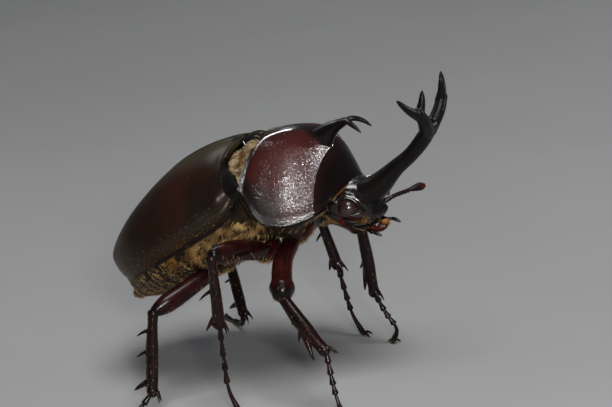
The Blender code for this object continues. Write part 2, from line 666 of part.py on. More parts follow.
def make_thoracic_horn(pronotum):
    """Short forked horn on the front of the shield, its tines curving down."""
    pieces = [tube("thoracic_horn", THORACIC_STEM, THORACIC_STEM_SIZES, rings=7, sides=10)]
    for name, side in SIDES.items():
        line = [(x, y * side, z) for x, y, z in THORACIC_TINE]
        pieces.append(tube("tine_" + name, line, THORACIC_TINE_SIZES, rings=7, sides=7, pointed=True))
    horn = fuse("thoracic_horn", pieces)
    clear_of(horn, pronotum)
    finish(horn, SHELL_BLACK)
    return horn


def make_head(stations=9, points=18):
    """Head capsule, from the neck to the flat front edge over the mouth."""
    rings = []
    for i in range(stations):
        values = smooth_rows(HEAD_ROWS, i / (stations - 1))
        crown = Vector((values[0], 0.0, values[1]))
        side = Vector((values[2], 0.0, values[4]))
        throat = Vector((values[5], 0.0, values[6]))
        ring = []
        for k in range(points):
            rise, reach = rounded(math.tau * k / points, HEAD_FULLNESS)
            towards = crown - side if rise > 0 else side - throat
            ring.append(on_head(side + towards * rise + Vector((0.0, values[3] * reach, 0.0))))
        rings.append(ring)
    return fuse("head", [loft("head", rings)])


def make_eyes():
    """The two round eyes."""
    eyes = []
    for name, side in SIDES.items():
        eye = ball("eye_" + name, on_head(EYE_CENTRE, side), EYE_RADIUS)
        finish(eye, EYE_BROWN)
        eyes.append(eye)
    return eyes


def make_cephalic_horn(head):
    """Long horn that forks into two branches, each with two tines."""
    pieces = [tube("cephalic_horn", [on_head(p) for p in HORN_SHAFT], HORN_SHAFT_SIZES, rings=11, sides=12)]
    for name, side in SIDES.items():
        branch = [on_head(p, side) for p in HORN_BRANCH]
        pieces.append(tube("branch_" + name, branch, HORN_BRANCH_SIZES, rings=5, sides=8))
        for tine, sizes in HORN_TINES:
            line = [on_head(p, side) for p in tine]
            pieces.append(tube("tine_" + name, line, sizes, rings=6, sides=7, pointed=True))
    horn = fuse("cephalic_horn", pieces)
    clear_of(horn, head)
    finish(horn, SHELL_BLACK)
    return horn


def make_mouth(head):
    """Jaws under the front edge, and the two feelers of the mouth."""
    pieces = [tube("mouthparts", [on_head(p) for p in MOUTH], MOUTH_SIZES, rings=5, sides=10)]
    for name, side in SIDES.items():
        line = [on_head(p, side) for p in JAW]
        pieces.append(tube("jaw_" + name, line, JAW_SIZES, rings=4, sides=6))
    mouth = fuse("mouthparts", pieces)
    clear_of(mouth, head)
    finish(mouth, MOUTH_RED)
    for name, line in PALPS.items():
        palp = tube("palp_" + name, [on_head(p) for p in line], PALP_SIZES, rings=5, sides=6)
        clear_of(palp, mouth, head)
        finish(palp, MOUTH_RED)


def make_antennae(head):
    """Thin stalks, each with a club of leaves laid on one another at its end."""
    for side, (line, club) in ANTENNAE.items():
        name = "antenna_" + side
        stalk = tube(name, [on_head(p) for p in line], STALK_SIZES, rings=7, sides=6)
        start, end = (on_head(p) for p in club)
        leaves = tube(name + "_club", (start, (start + end) / 2, end), CLUB_SIZES, rings=5, sides=8)
        antenna = fuse(name, [stalk, leaves])
        clear_of(antenna, head)
        finish(antenna, LEG_RED_BLACK)


def tibia_axes(pair, side, line):
    """Directions of a shin: along it, out to its spines, and across its flat side."""
    heading = (Vector(line[-1]) - Vector(line[0])).normalized()
    back, aside, rise = SPINES_OUT[pair]
    outward = Vector((back, aside * SIDES[side], rise))
    outward = (outward - heading * outward.dot(heading)).normalized()
    return heading, outward, outward.cross(heading)


def make_shaft(pair, side, line):
    """The shin without its spines."""
    flat = tibia_axes(pair, side, line)[2]
    return tube(f"{pair}_tibia_{side}", line, TIBIA_SIZES[pair], rings=8, sides=8, upright=flat)


def make_tibia(pair, side, line):
    """Shin with its outer spines and the spurs at its foot."""
    heading, outward, flat = tibia_axes(pair, side, line)
    pieces = [make_shaft(pair, side, line)]
    for share, root_out, tip_out, tip_along, radius in TIBIA_SPINES[pair]:
        middle = smooth_path(line, [share])[0]
        tip = middle + outward * tip_out + heading * tip_along
        pieces.append(spine("spine", middle + outward * root_out, tip, radius, bend=-heading * 0.15))
    foot = Vector(line[-1])
    for turn in (-1.0, 1.0):
        ends = [foot + heading * along + outward * out + flat * across * turn for along, out, across in SPUR]
        pieces.append(spine("spur", *ends, SPUR_RADIUS))
    return fuse(pieces[0].name, pieces)


def make_tarsus(pair, side, line, claw_way):
    """Five short links and two hooked claws, flat where they stand on the floor."""
    name = f"{pair}_tarsus_{side}"
    sizes = []
    for k in range(TARSOMERES):
        sizes += [((k + share) / TARSOMERES, radius, radius) for share, radius in TARSOMERE_SHAPE]
    pieces = [tube(name, line, sizes, sides=6, stations=[row[0] for row in sizes])]
    foot = Vector(line[-1])
    way = Vector(claw_way).normalized()
    apart = way.cross(UP).normalized()
    for turn in (-1.0, 1.0):
        hook = (foot - way * 0.2, foot + way * 0.75 + apart * turn * 0.6 + UP * 0.25,
                foot + way * 1.35 + apart * turn * 0.95 - UP * (foot.z + 0.12))
        pieces.append(spine("claw", hook[0], hook[2], 0.3, bend=hook[1] - (hook[0] + hook[2]) / 2))
    tarsus = fuse(name, pieces)
    flat_sole(tarsus)
    return tarsus


def make_leg(pair, side, root_nodes):
    """One leg, each piece cut clear of the one that it grows from."""
    shape = LEGS[pair, side]
    hip, thigh = shape["coxa"], shape["femur"]
    middle = (Vector(hip[0]) + Vector(hip[1])) / 2
    coxa = tube(f"{pair}_coxa_{side}", (hip[0], middle, hip[1]), COXA_SIZES, rings=4, sides=9)
    clear_of(coxa, *root_nodes)
    femur = tube(f"{pair}_femur_{side}", thigh, FEMUR_SIZES[pair], rings=8, sides=10)
    clear_of(femur, coxa, *root_nodes)
    tibia = make_tibia(pair, side, shape["tibia"])
    clear_of(tibia, femur)
    tarsus = make_tarsus(pair, side, shape["tarsus"], shape["claws"])
    shaft = make_shaft(pair, side, shape["tibia"])
    clear_of(tarsus, shaft)
    bpy.data.objects.remove(shaft)
    for piece in (coxa, femur, tibia, tarsus):
        finish(piece, LEG_RED_BLACK)


def clear_scene():
    """Remove whatever the opened file holds."""
    for obj in list(bpy.data.objects):
        bpy.data.objects.remove(obj)


def main():
    """Build every piece of the beetle."""
    clear_scene()
    pronotum = make_pronotum()
    prosternum = make_prosternum(pronotum)
    make_thoracic_horn(pronotum)
    scutellum = make_scutellum()
    wing_cases = make_wing_cases()
    for case in wing_cases:
        clear_of(case, scutellum, pronotum)
    mesothorax, metathorax, abdomen = make_trunk()
    clear_of(mesothorax, pronotum, scutellum)
    clear_of(mesothorax, prosternum, gap=SHARP_GAP)
    clear_of(metathorax, prosternum)
    clear_of(abdomen, *wing_cases, gap=SHARP_GAP)
    make_pygidium()
    head = make_head()
    clear_of(head, pronotum, prosternum)
    clear_of(head, *make_eyes())
    finish(head, SHELL_BLACK)
    make_cephalic_horn(head)
    make_mouth(head)
    make_antennae(head)
    roots = {"fore": (prosternum,), "mid": (metathorax, prosternum), "hind": (metathorax, abdomen)}
    for pair, side in LEGS:
        make_leg(pair, side, roots[pair])


main()
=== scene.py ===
"""Looks of a male Japanese rhinoceros beetle that stands still on a pale floor.

Every piece is modelled in millimetres in the drawing's own frame: X points forward,
Y to the beetle's left and Z up from the floor. hand_over() brings a finished piece
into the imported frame, in metres. The drawing's place in that frame is read off an eye.
"""

import functools
import logging
import math
from contextlib import contextmanager
from dataclasses import dataclass, field
from enum import Enum
from typing import Callable, Iterator, Sequence

import bmesh
import bpy
import numpy as np
from mathutils import Matrix, Vector


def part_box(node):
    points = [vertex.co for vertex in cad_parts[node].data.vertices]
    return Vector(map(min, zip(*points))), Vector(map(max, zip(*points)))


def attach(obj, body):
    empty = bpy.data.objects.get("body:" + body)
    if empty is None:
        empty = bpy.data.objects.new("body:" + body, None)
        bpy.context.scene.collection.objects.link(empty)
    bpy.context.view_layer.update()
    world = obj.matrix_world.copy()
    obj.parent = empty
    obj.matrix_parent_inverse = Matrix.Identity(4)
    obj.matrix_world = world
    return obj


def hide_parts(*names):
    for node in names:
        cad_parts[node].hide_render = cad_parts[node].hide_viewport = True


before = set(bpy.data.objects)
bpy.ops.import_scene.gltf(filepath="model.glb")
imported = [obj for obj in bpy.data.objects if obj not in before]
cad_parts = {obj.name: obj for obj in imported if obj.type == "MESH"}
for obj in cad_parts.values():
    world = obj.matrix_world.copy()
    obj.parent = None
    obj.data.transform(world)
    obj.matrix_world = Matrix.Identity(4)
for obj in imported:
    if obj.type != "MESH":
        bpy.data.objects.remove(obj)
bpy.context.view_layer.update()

LOG = logging.getLogger("beetle")
MM = 0.001
UP = Vector((0.0, 0.0, 1.0))
SEED = 11

Array = np.ndarray
Piece = bpy.types.Object
Items = bpy.types.bpy_prop_collection
Tree = bpy.types.NodeTree
Node = bpy.types.Node
Socket = bpy.types.NodeSocket
Point = tuple[float, float, float]
Colour = tuple[float, float, float]
Line = Sequence[Point | Vector]
Rows = tuple[tuple[float, ...], ...]
Surface = Callable[[float, float], Vector]
Amount = Callable[[float, float], float]
Cover = Callable[[Array, Array], Array]


class Side(Enum):
    """The two sides of the beetle, with the sign of Y there."""

    RIGHT = -1.0
    LEFT = 1.0

    @property
    def word(self) -> str:
        """Name of the side as the nodes use it."""
        return self.name.lower()


class Pair(Enum):
    """The three pairs of legs."""

    FORE = "fore"
    MID = "mid"
    HIND = "hind"


def clamp(value: float, low: float = 0.0, high: float = 1.0) -> float:
    """Value kept between two limits."""
    return min(max(value, low), high)


def ease(low: float, high: float, value: float) -> float:
    """Smooth step from 0 at low to 1 at high."""
    t = clamp((value - low) / (high - low))
    return t * t * (3.0 - 2.0 * t)


def hump(value: float, centre: float, width: float) -> float:
    """Round hump of height 1 at a centre, fading over about a width on both sides."""
    return math.exp(-((value - centre) / width) ** 2)


def ridges(rows: Rows, value: float) -> float:
    """Height at a place of ridges and grooves, each a row of a height, a place and a width."""
    return sum(height * hump(value, centre, width) for height, centre, width in rows)


@functools.cache
def smooth_rows(rows: Rows, t: float) -> tuple[float, ...]:
    """Values on a smooth curve through rows of a place and its values.

    Args:
        rows: The rows, each a place and then its values, in order of place.
        t: The place to read.

    Returns:
        The values at that place.
    """
    ordered = rows if rows[0][0] < rows[-1][0] else rows[::-1]
    last = len(ordered) - 1
    i = min(max(sum(1 for row in ordered if row[0] <= t) - 1, 0), last - 1)
    span = ordered[i + 1][0] - ordered[i][0]
    f = clamp((t - ordered[i][0]) / span)

    def slope(k: int, column: int) -> float:
        """Slope of one value at row k, for the span that is read."""
        before, after = ordered[max(k - 1, 0)], ordered[min(k + 1, last)]
        return (after[column] - before[column]) / (after[0] - before[0]) * span

    values = []
    for column in range(1, len(ordered[0])):
        start, end = ordered[i][column], ordered[i + 1][column]
        values.append(start * (2 * f**3 - 3 * f**2 + 1) + slope(i, column) * (f**3 - 2 * f**2 + f)
                      + end * (3 * f**2 - 2 * f**3) + slope(i + 1, column) * (f**3 - f**2))
    return tuple(values)


def smooth_line(points: Line) -> Callable[[float], Vector]:
    """Smooth line through a few points.

    Args:
        points: The points, in order.

    Returns:
        A function from the share of the line's length to the place there.
    """
    reach = [0.0]
    for a, b in zip(points, points[1:]):
        reach.append(reach[-1] + (Vector(b) - Vector(a)).length)
    rows = tuple((length / reach[-1], *point) for length, point in zip(reach, points))
    return lambda t: Vector(smooth_rows(rows, t))


def arch(angle: float, fullness: float) -> tuple[float, ...]:
    """Rise and reach of a full, rounded arch at an angle from its top."""
    return tuple(math.copysign(abs(part) ** (2 / fullness), part) for part in (math.cos(angle), math.sin(angle)))


def capped(u: float, cap: float) -> tuple[float, float]:
    """Share of the length between two end caps, and how far the shape is open there, from 0 to 1."""
    return clamp((u - cap) / (1 - 2 * cap)), clamp(min(u, 1 - u) / cap)


@dataclass(frozen=True)
class HindAxis:
    """Slanting axis of the hind body, which rises towards the front."""

    base: Point = (-15.0, 0.0, 27.5)
    pitch: float = math.radians(28.0)

    def place(self, along: float, across: float, height: float) -> Vector:
        """Turn a place on the axis into a drawing point.

        Args:
            along: How far it lies towards the front.
            across: How far it lies to the left.
            height: How far it lies over the axis.

        Returns:
            The point.
        """
        forward = Vector((math.cos(self.pitch), 0.0, math.sin(self.pitch)))
        upward = Vector((-math.sin(self.pitch), 0.0, math.cos(self.pitch)))
        return Vector(self.base) + forward * along + Vector((0.0, across, 0.0)) + upward * height


@dataclass(frozen=True)
class HeadPose:
    """Turn and roll of the head about the neck."""

    turn: float = math.radians(-4.0)
    roll: float = math.radians(3.0)
    pivot: Point = (-3.0, 0.0, 27.0)

    def place(self, point: Point | Vector, side: Side = Side.LEFT) -> Vector:
        """Turn a place on the straight head into a drawing point.

        Args:
            point: The place, as the head's left side has it.
            side: The side that it is wanted for.

        Returns:
            The point.
        """
        turned = Matrix.Rotation(self.turn, 4, "Z") @ Matrix.Rotation(self.roll, 4, "X")
        local = Vector((point[0], point[1] * side.value, point[2])) - Vector(self.pivot)
        return turned @ local + Vector(self.pivot)

    def line(self, points: Line, side: Side = Side.LEFT) -> list[Vector]:
        """Drawing points of a line of such places."""
        return [self.place(point, side) for point in points]


HIND = HindAxis()
HEAD = HeadPose()
EYE_CENTRE = (-0.2, 4.1, 26.7)


def drawing_shift() -> Vector:
    """Move, in millimetres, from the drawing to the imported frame, as the right eye's node shows it."""
    low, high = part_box("eye_right")
    return (low + high) / 2 / MM - HEAD.place(EYE_CENTRE, Side.RIGHT)


SHIFT = drawing_shift()


def select(*pieces: Piece) -> None:
    """Leave nothing but some pieces selected, in object mode.

    Args:
        pieces: The pieces, of which the first becomes the active one.
    """
    if bpy.context.mode != "OBJECT":
        bpy.ops.object.mode_set(mode="OBJECT")
    bpy.ops.object.select_all(action="DESELECT")
    for piece in pieces[::-1]:
        piece.select_set(True)
        bpy.context.view_layer.objects.active = piece


@contextmanager
def editing(piece: Piece) -> Iterator[None]:
    """Hold a piece in edit mode with all of it selected, and leave that mode at the end.

    Args:
        piece: The piece.

    Yields:
        Nothing.
    """
    select(piece)
    bpy.ops.object.mode_set(mode="EDIT")
    bpy.ops.mesh.select_all(action="SELECT")
    yield
    bpy.ops.object.mode_set(mode="OBJECT")


def named(name: str) -> Piece:
    """Give the active object a name.

    Args:
        name: The name.

    Returns:
        The object, as a piece.
    """
    piece = bpy.context.active_object
    piece.name = name
    piece.data.name = name
    return piece


def modify(piece: Piece, kind: str, **values: object) -> None:
    """Apply one modifier to a piece.

    Args:
        piece: The piece that it shapes.
        kind: Blender's name for the modifier.
        values: Its settings.
    """
    select(piece)
    step = piece.modifiers.new(kind.lower(), kind)
    for key, value in values.items():
        setattr(step, key, value)
    bpy.ops.object.modifier_apply(modifier=step.name)


def wrap(name: str, rows: int, columns: int, place: Surface, merge: float = 0.004) -> Piece:
    """Mesh of a surface, made from a grid whose points are laid on it.

    Args:
        name: Name of the piece.
        rows: Faces along the surface, the first of its two shares.
        columns: Faces across it, the second one.
        place: The surface, as a point for two shares from 0 to 1.
        merge: Points closer than this are one.

    Returns:
        The piece, whose UV map holds the two shares.
    """
    select()
    bpy.ops.mesh.primitive_grid_add(x_subdivisions=rows, y_subdivisions=columns, size=1.0)
    piece = named(name)
    for vertex in piece.data.vertices:
        vertex.co = place(vertex.co.x + 0.5, vertex.co.y + 0.5)
    with editing(piece):
        bpy.ops.mesh.remove_doubles(threshold=merge)
        bpy.ops.mesh.normals_make_consistent(inside=False)
    return piece


def join(name: str, pieces: Sequence[Piece]) -> Piece:
    """Make one piece of several.

    Args:
        name: Name of the new piece.
        pieces: The pieces.

    Returns:
        The new piece.
    """
    select(*pieces)
    bpy.ops.object.join()
    return named(name)


def melt(piece: Piece, grain: float, rounds: int) -> None:
    """Grow joined shapes together, with faces of a grain in millimetres, and smooth them in rounds."""
    modify(piece, "REMESH", mode="VOXEL", voxel_size=grain, adaptivity=0.0)
    modify(piece, "SMOOTH", factor=0.5, iterations=rounds)


def tube(name: str, line: Line, sizes: Rows, rows: int = 40, columns: int = 20,
         upright: Vector = UP, relief: Amount | None = None, dome: float = 0.8) -> Piece:
    """Closed limb along a smooth line, with rounded ends.

    Args:
        name: Name of the piece.
        line: Points that its middle runs through.
        sizes: Rows of the share along it, and its half width and half height there or one radius.
        rows: Faces along it.
        columns: Faces round it.
        upright: The way in which the half height is measured.
        relief: What stands out of its surface at two shares, in millimetres.
        dome: Length of its rounded ends, as a share of their half height.

    Returns:
        The piece.
    """
    path = smooth_line(line)
    cap, reach = 3.0 / rows, 0.02

    @functools.lru_cache(None)
    def ring(t: float) -> tuple[Vector, Vector, Vector, Vector, float, float]:
        """Centre, axes and half sizes of the ring at a share of the line."""
        heading = (path(clamp(t + reach)) - path(clamp(t - reach))).normalized()
        across = heading.cross(upright).normalized()
        size = smooth_rows(sizes, t)
        return path(t), heading, across, across.cross(heading), size[0], size[-1]

    def place(u: float, v: float) -> Vector:
        """Point of the limb's skin."""
        t, closing = capped(u, cap)
        centre, heading, across, above, half_width, half_height = ring(t)
        shrink, push = math.sin(closing * math.pi / 2), math.cos(closing * math.pi / 2)
        bulge = relief(t, v) if relief else 0.0
        turn = math.tau * v
        skin = across * (half_width + bulge) * math.cos(turn) + above * (half_height + bulge) * math.sin(turn)
        return centre + skin * shrink + heading * math.copysign(push * half_height * dome, u - 0.5)

    return wrap(name, rows, columns, place)


def hand_over(piece: Piece, finish: "Finish", slot: str, *nodes: str,
              crease: float = 50.0) -> Piece:
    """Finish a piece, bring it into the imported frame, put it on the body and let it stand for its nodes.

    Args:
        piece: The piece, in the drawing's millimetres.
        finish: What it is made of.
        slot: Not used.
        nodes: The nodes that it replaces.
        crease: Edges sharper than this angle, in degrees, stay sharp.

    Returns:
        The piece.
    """
    select(piece)
    bpy.ops.object.shade_smooth_by_angle(angle=math.radians(crease))
    piece.data.transform(Matrix.Scale(MM, 4) @ Matrix.Translation(SHIFT))
    piece.data.update()
    piece.data.materials.clear()
    piece.data.materials.append(finish.material())
    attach(piece, "root")
    if nodes:
        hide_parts(*nodes)
    LOG.info("%s has %d faces", piece.name, len(piece.data.polygons))
    return piece


def wire(tree: Tree, node: Node, wires: dict[str | int, object]) -> None:
    """Fill a node's inputs.

    Args:
        tree: The node's tree.
        node: The node.
        wires: Its inputs, each with a socket or a fixed value.
    """
    for key, value in wires.items():
        if isinstance(value, Socket):
            tree.links.new(value, node.inputs[key])
        else:
            node.inputs[key].default_value = value


def add_node(tree: Tree, kind: str, wires: dict[str | int, object] | None = None,
             **settings: object) -> Node:
    """Add a node to a tree.

    Args:
        tree: The tree.
        kind: Type of the node, without the ShaderNode before it.
        wires: Its inputs, each with a socket or a fixed value.
        settings: Its settings.

    Returns:
        The node.
    """
    node = tree.nodes.new("ShaderNode" + kind)
    for key, value in settings.items():
        setattr(node, key, value)
    wire(tree, node, wires or {})
    return node


def reckon(tree: Tree, operation: str, *values: object, **settings: object) -> Socket:
    """Result of a Math node over sockets and numbers."""
    return add_node(tree, "Math", dict(enumerate(values)), operation=operation, **settings).outputs[0]


def blend_colours(tree: Tree, share: object, first: object, second: object,
                  blend: str = "MIX") -> Socket:
    """Result of laying a share of the second colour over the first; each may be a socket or a value."""
    return add_node(tree, "Mix", {0: share, 6: first, 7: second}, data_type="RGBA", blend_type=blend).outputs[2]


class Group:
    """A pattern in the making: a shader node group on a place and a number of figures per metre."""

    def __init__(self, name: str, per_metre: float, inputs: dict[str, float | tuple]) -> None:
        """Start a group.

        Args:
            name: Name of the group.
            per_metre: Starting value of its figures per metre.
            inputs: Names and starting values of its other inputs; a tuple is a colour.
        """
        self.tree = bpy.data.node_groups.new(name, "ShaderNodeTree")
        for key, value in {"Vector": (0.0, 0.0, 0.0), "Per metre": per_metre, **inputs}.items():
            kind = {3: "Vector", 4: "Color"}[len(value)] if isinstance(value, tuple) else "Float"
            socket = self.tree.interface.new_socket(name=key, in_out="INPUT", socket_type="NodeSocket" + kind)
            socket.default_value = value
        self.inputs = self.tree.nodes.new("NodeGroupInput").outputs

    def texture(self, kind: str, **wires: float) -> Items:
        """Outputs of a texture on the group's place, at the group's scale where none is given."""
        known = {"Vector": self.inputs["Vector"], "Scale": self.inputs["Per metre"]}
        return add_node(self.tree, kind, {**known, **wires}).outputs

    def done(self, **results: Socket) -> Tree:
        """Show sockets as the group's outputs.

        Args:
            results: The outputs' names, each with its socket.

        Returns:
            The finished group.
        """
        for key, socket in results.items():
            kind = "NodeSocketColor" if socket.type == "RGBA" else "NodeSocketFloat"
            self.tree.interface.new_socket(name=key, in_out="OUTPUT", socket_type=kind)
        wire(self.tree, self.tree.nodes.new("NodeGroupOutput"), results)
        return self.tree


@functools.cache
def pits_group() -> Tree:
    """Small round pits all over a shell; Share says how many of the places hold one."""
    group = Group("pits", 4000.0, {"Share": 0.5})
    cells = group.texture("TexVoronoi", Randomness=1.0)
    bowl = add_node(group.tree, "MapRange", {"Value": cells["Distance"], "From Min": 0.1, "From Max": 0.42},
                    interpolation_type="SMOOTHSTEP")
    lot = add_node(group.tree, "SeparateColor", {"Color": cells["Color"]})
    chosen = reckon(group.tree, "LESS_THAN", lot.outputs["Red"], group.inputs["Share"])
    depth = reckon(group.tree, "SUBTRACT", 1.0, bowl.outputs["Result"])
    return group.done(Mask=reckon(group.tree, "MULTIPLY", depth, chosen))


@functools.cache
def mottle_group() -> Tree:
    """Cloudy change between two colours."""
    group = Group("mottle", 200.0, {"First": (0.0, 0.0, 0.0, 1.0), "Second": (1.0, 1.0, 1.0, 1.0), "Balance": 0.5})
    softness = 0.16
    low, high = (reckon(group.tree, way, group.inputs["Balance"], softness) for way in ("SUBTRACT", "ADD"))
    cloud = group.texture("TexNoise", Detail=5.0, Roughness=0.6)["Fac"]
    share = add_node(group.tree, "MapRange", {"Value": cloud, "From Min": low, "From Max": high},
                     interpolation_type="SMOOTHSTEP")
    return group.done(Color=blend_colours(group.tree, share.outputs["Result"], group.inputs["First"],
                                          group.inputs["Second"]))


@functools.cache
def grain_group() -> Tree:
    """Fine uneven grain, for the surface between the pits and for small changes of gloss."""
    group = Group("grain", 9000.0, {"Low": 0.2, "High": 0.3})
    fine = group.texture("TexNoise", Detail=3.0)["Fac"]
    smear = group.texture("TexNoise", Scale=420.0, Detail=4.0)["Fac"]
    gloss = add_node(group.tree, "MapRange", {"Value": smear, "From Min": 0.3, "From Max": 0.7,
                                              "To Min": group.inputs["Low"], "To Max": group.inputs["High"]})
    return group.done(Height=fine, Gloss=gloss.outputs["Result"])


def pattern(tree: Tree, group: Tree, per_metre: float,
            **values: object) -> Items:
    """Place a pattern on the piece's own coordinates.

    Args:
        tree: The material's tree.
        group: The pattern.
        per_metre: Its figures per metre.
        values: Its other inputs.

    Returns:
        The pattern's outputs.
    """
    where = add_node(tree, "TexCoord").outputs["Object"]
    return add_node(tree, "Group", {"Vector": where, "Per metre": per_metre, **values}, node_tree=group).outputs


def told(tree: Tree, name: str) -> Socket:
    """What the mesh says under a name, as a value from 0 to 1."""
    return add_node(tree, "Attribute", attribute_name=name).outputs["Fac"]


def solid(colour: Colour) -> tuple[float, float, float, float]:
    """A colour with full cover."""
    return (*colour, 1.0)


@dataclass(frozen=True)
class Finish:
    """What a piece is made of."""

    name: str

    def material(self) -> bpy.types.Material:
        """The finish as a material, made once."""
        found = bpy.data.materials.get(self.name)
        if found:
            return found
        made = bpy.data.materials.new(self.name)
        made.use_nodes = True
        self.dress(made.node_tree, made.node_tree.nodes["Principled BSDF"])
        return made

    def dress(self, tree: Tree, shader: Node) -> None:
        """Add the finish's own nodes; each kind of finish has its own.

        Args:
            tree: The material's tree.
            shader: Its shader.
        """
        raise NotImplementedError


@dataclass(frozen=True)
class ShellFinish(Finish):
    """Horny shell: two clouded colours, two more where the mesh says rim and glow, pits and gloss. On some pieces the
    rim's black also lays painted shade.

    The pits and the grain fade where the mesh says smooth, and a place that it calls polish is glossier.
    """

    first: Colour
    second: Colour
    rim: Colour = (0.004, 0.003, 0.003)
    glow: Colour = (0.02, 0.015, 0.01)
    cloud_mm: float = 5.0
    gloss: tuple[float, float] = (0.18, 0.3)
    polish: float = -0.15
    pit_mm: float = 0.25
    pit_share: float = 0.7
    pit_depth_mm: float = 0.03
    grain_mm: float = 0.12
    grain_depth_mm: float = 0.006
    specular: float = 0.35

    def dress(self, tree: Tree, shader: Node) -> None:
        """Clouds, rim, glow and gloss, and the grain and the pits between them."""
        clouds = pattern(tree, mottle_group(), 1 / (self.cloud_mm * MM), First=solid(self.first),
                         Second=solid(self.second))
        warm = blend_colours(tree, told(tree, "glow"), clouds["Color"], solid(self.glow))
        grain = pattern(tree, grain_group(), 1 / (self.grain_mm * MM), Low=self.gloss[0], High=self.gloss[1])
        pits = pattern(tree, pits_group(), 1 / (self.pit_mm * MM), Share=self.pit_share)
        rough = reckon(tree, "SUBTRACT", 1.0, told(tree, "smooth"))
        fine = add_node(tree, "Bump", {"Height": reckon(tree, "MULTIPLY", grain["Height"], rough),
                                       "Distance": self.grain_depth_mm * MM, "Strength": 1.0})
        pitted = add_node(tree, "Bump", {"Height": reckon(tree, "MULTIPLY", pits["Mask"], rough), "Strength": 1.0,
                                         "Distance": self.pit_depth_mm * MM, "Normal": fine.outputs["Normal"]},
                          invert=True)
        # Rim: dark rims, and painted shade where a piece's mesh puts rim in a hollow or fold
        wire(tree, shader, {
            "Base Color": blend_colours(tree, told(tree, "rim"), warm, solid(self.rim)),
            "Roughness": reckon(tree, "MULTIPLY_ADD", told(tree, "polish"), self.polish, grain["Gloss"],
                                use_clamp=True),
            "Normal": pitted.outputs["Normal"], "Specular IOR Level": self.specular})


@dataclass(frozen=True)
class HairFinish(Finish):
    """Hair: a colour that runs from tuft to tuft between two, and is darker in the shadow's clouds."""

    light: Colour
    deep: Colour
    shadow: Colour = (0.45, 0.42, 0.4)
    shadows_per_metre: float = 700.0
    balance: float = 0.45
    roughness: float = 0.42
    specular: float = 0.2

    def dress(self, tree: Tree, shader: Node) -> None:
        """Tone of each tuft, and clouds over the coat."""
        tuft = blend_colours(tree, told(tree, "tone"), solid(self.deep), solid(self.light))
        clouds = pattern(tree, mottle_group(), self.shadows_per_metre, First=solid(self.shadow),
                         Second=solid((1.0, 1.0, 1.0)), Balance=self.balance)
        wire(tree, shader, {"Base Color": blend_colours(tree, 1.0, tuft, clouds["Color"], "MULTIPLY"),
                            "Roughness": self.roughness, "Specular IOR Level": self.specular})


@dataclass(frozen=True)
class EyeFinish(Finish):
    """Compound eye: hundreds of small facets under a clear gloss."""

    first: Colour = (0.016, 0.006, 0.008)
    second: Colour = (0.045, 0.019, 0.018)
    clouds_per_metre: float = 900.0
    facet_mm: float = 0.07
    facet_disorder: float = 0.25
    depth_mm: float = 0.006
    roughness: float = 0.25
    specular: float = 0.25
    coat: float = 0.5
    coat_roughness: float = 0.08

    def dress(self, tree: Tree, shader: Node) -> None:
        """Facets and a clouded colour."""
        clouds = pattern(tree, mottle_group(), self.clouds_per_metre, First=solid(self.first),
                         Second=solid(self.second))
        cells = add_node(tree, "TexVoronoi", {"Vector": add_node(tree, "TexCoord").outputs["Object"],
                                              "Scale": 1 / (self.facet_mm * MM), "Randomness": self.facet_disorder})
        bump = add_node(tree, "Bump", {"Height": cells.outputs["Distance"], "Distance": self.depth_mm * MM,
                                       "Strength": 1.0}, invert=True)
        wire(tree, shader, {"Base Color": clouds["Color"], "Normal": bump.outputs["Normal"],
                            "Roughness": self.roughness, "Specular IOR Level": self.specular,
                            "Coat Weight": self.coat, "Coat Roughness": self.coat_roughness})


@dataclass(frozen=True)
class FloorFinish(Finish):
    """Matt pale ground in a barely clouded tone."""

    first: Colour = (0.43, 0.43, 0.43)
    second: Colour = (0.46, 0.46, 0.46)
    clouds_per_metre: float = 8.0
    roughness: float = 0.8

    def dress(self, tree: Tree, shader: Node) -> None:
        """The clouded tone."""
        clouds = pattern(tree, mottle_group(), self.clouds_per_metre, First=solid(self.first),
                         Second=solid(self.second))
        wire(tree, shader, {"Base Color": clouds["Color"], "Roughness": self.roughness})


# The shield's rim colour also lays painted shade in the marginal hollow and a painted dark reflection along the crest
SHIELD = ShellFinish("shield_maroon", first=(0.028, 0.0065, 0.0045), second=(0.046, 0.0085, 0.0065),
                     rim=(0.006, 0.003, 0.003), glow=(0.078, 0.016, 0.013), cloud_mm=7.0, gloss=(0.17, 0.24),
                     pit_mm=0.3, pit_share=0.95, pit_depth_mm=0.065, grain_mm=0.2, grain_depth_mm=0.11,
                     specular=0.4)
FACE = ShellFinish("shield_front", first=(0.012, 0.004, 0.0035), second=(0.020, 0.0045, 0.004),
                   rim=(0.006, 0.003, 0.003), cloud_mm=7.0, gloss=(0.2, 0.3), pit_mm=0.3, pit_share=0.3,
                   pit_depth_mm=0.02, specular=0.2)
# The wing cases' rim colour also lays painted shade on the front fold
WING_CASE = ShellFinish("wing_case_brown", first=(0.011, 0.0065, 0.0035), second=(0.026, 0.008, 0.005),
                        rim=(0.005, 0.003, 0.003), glow=(0.050, 0.037, 0.013), cloud_mm=8.0, gloss=(0.3, 0.4),
                        pit_mm=0.3, pit_share=0.35, pit_depth_mm=0.012, grain_mm=0.1, grain_depth_mm=0.012,
                        specular=0.14)
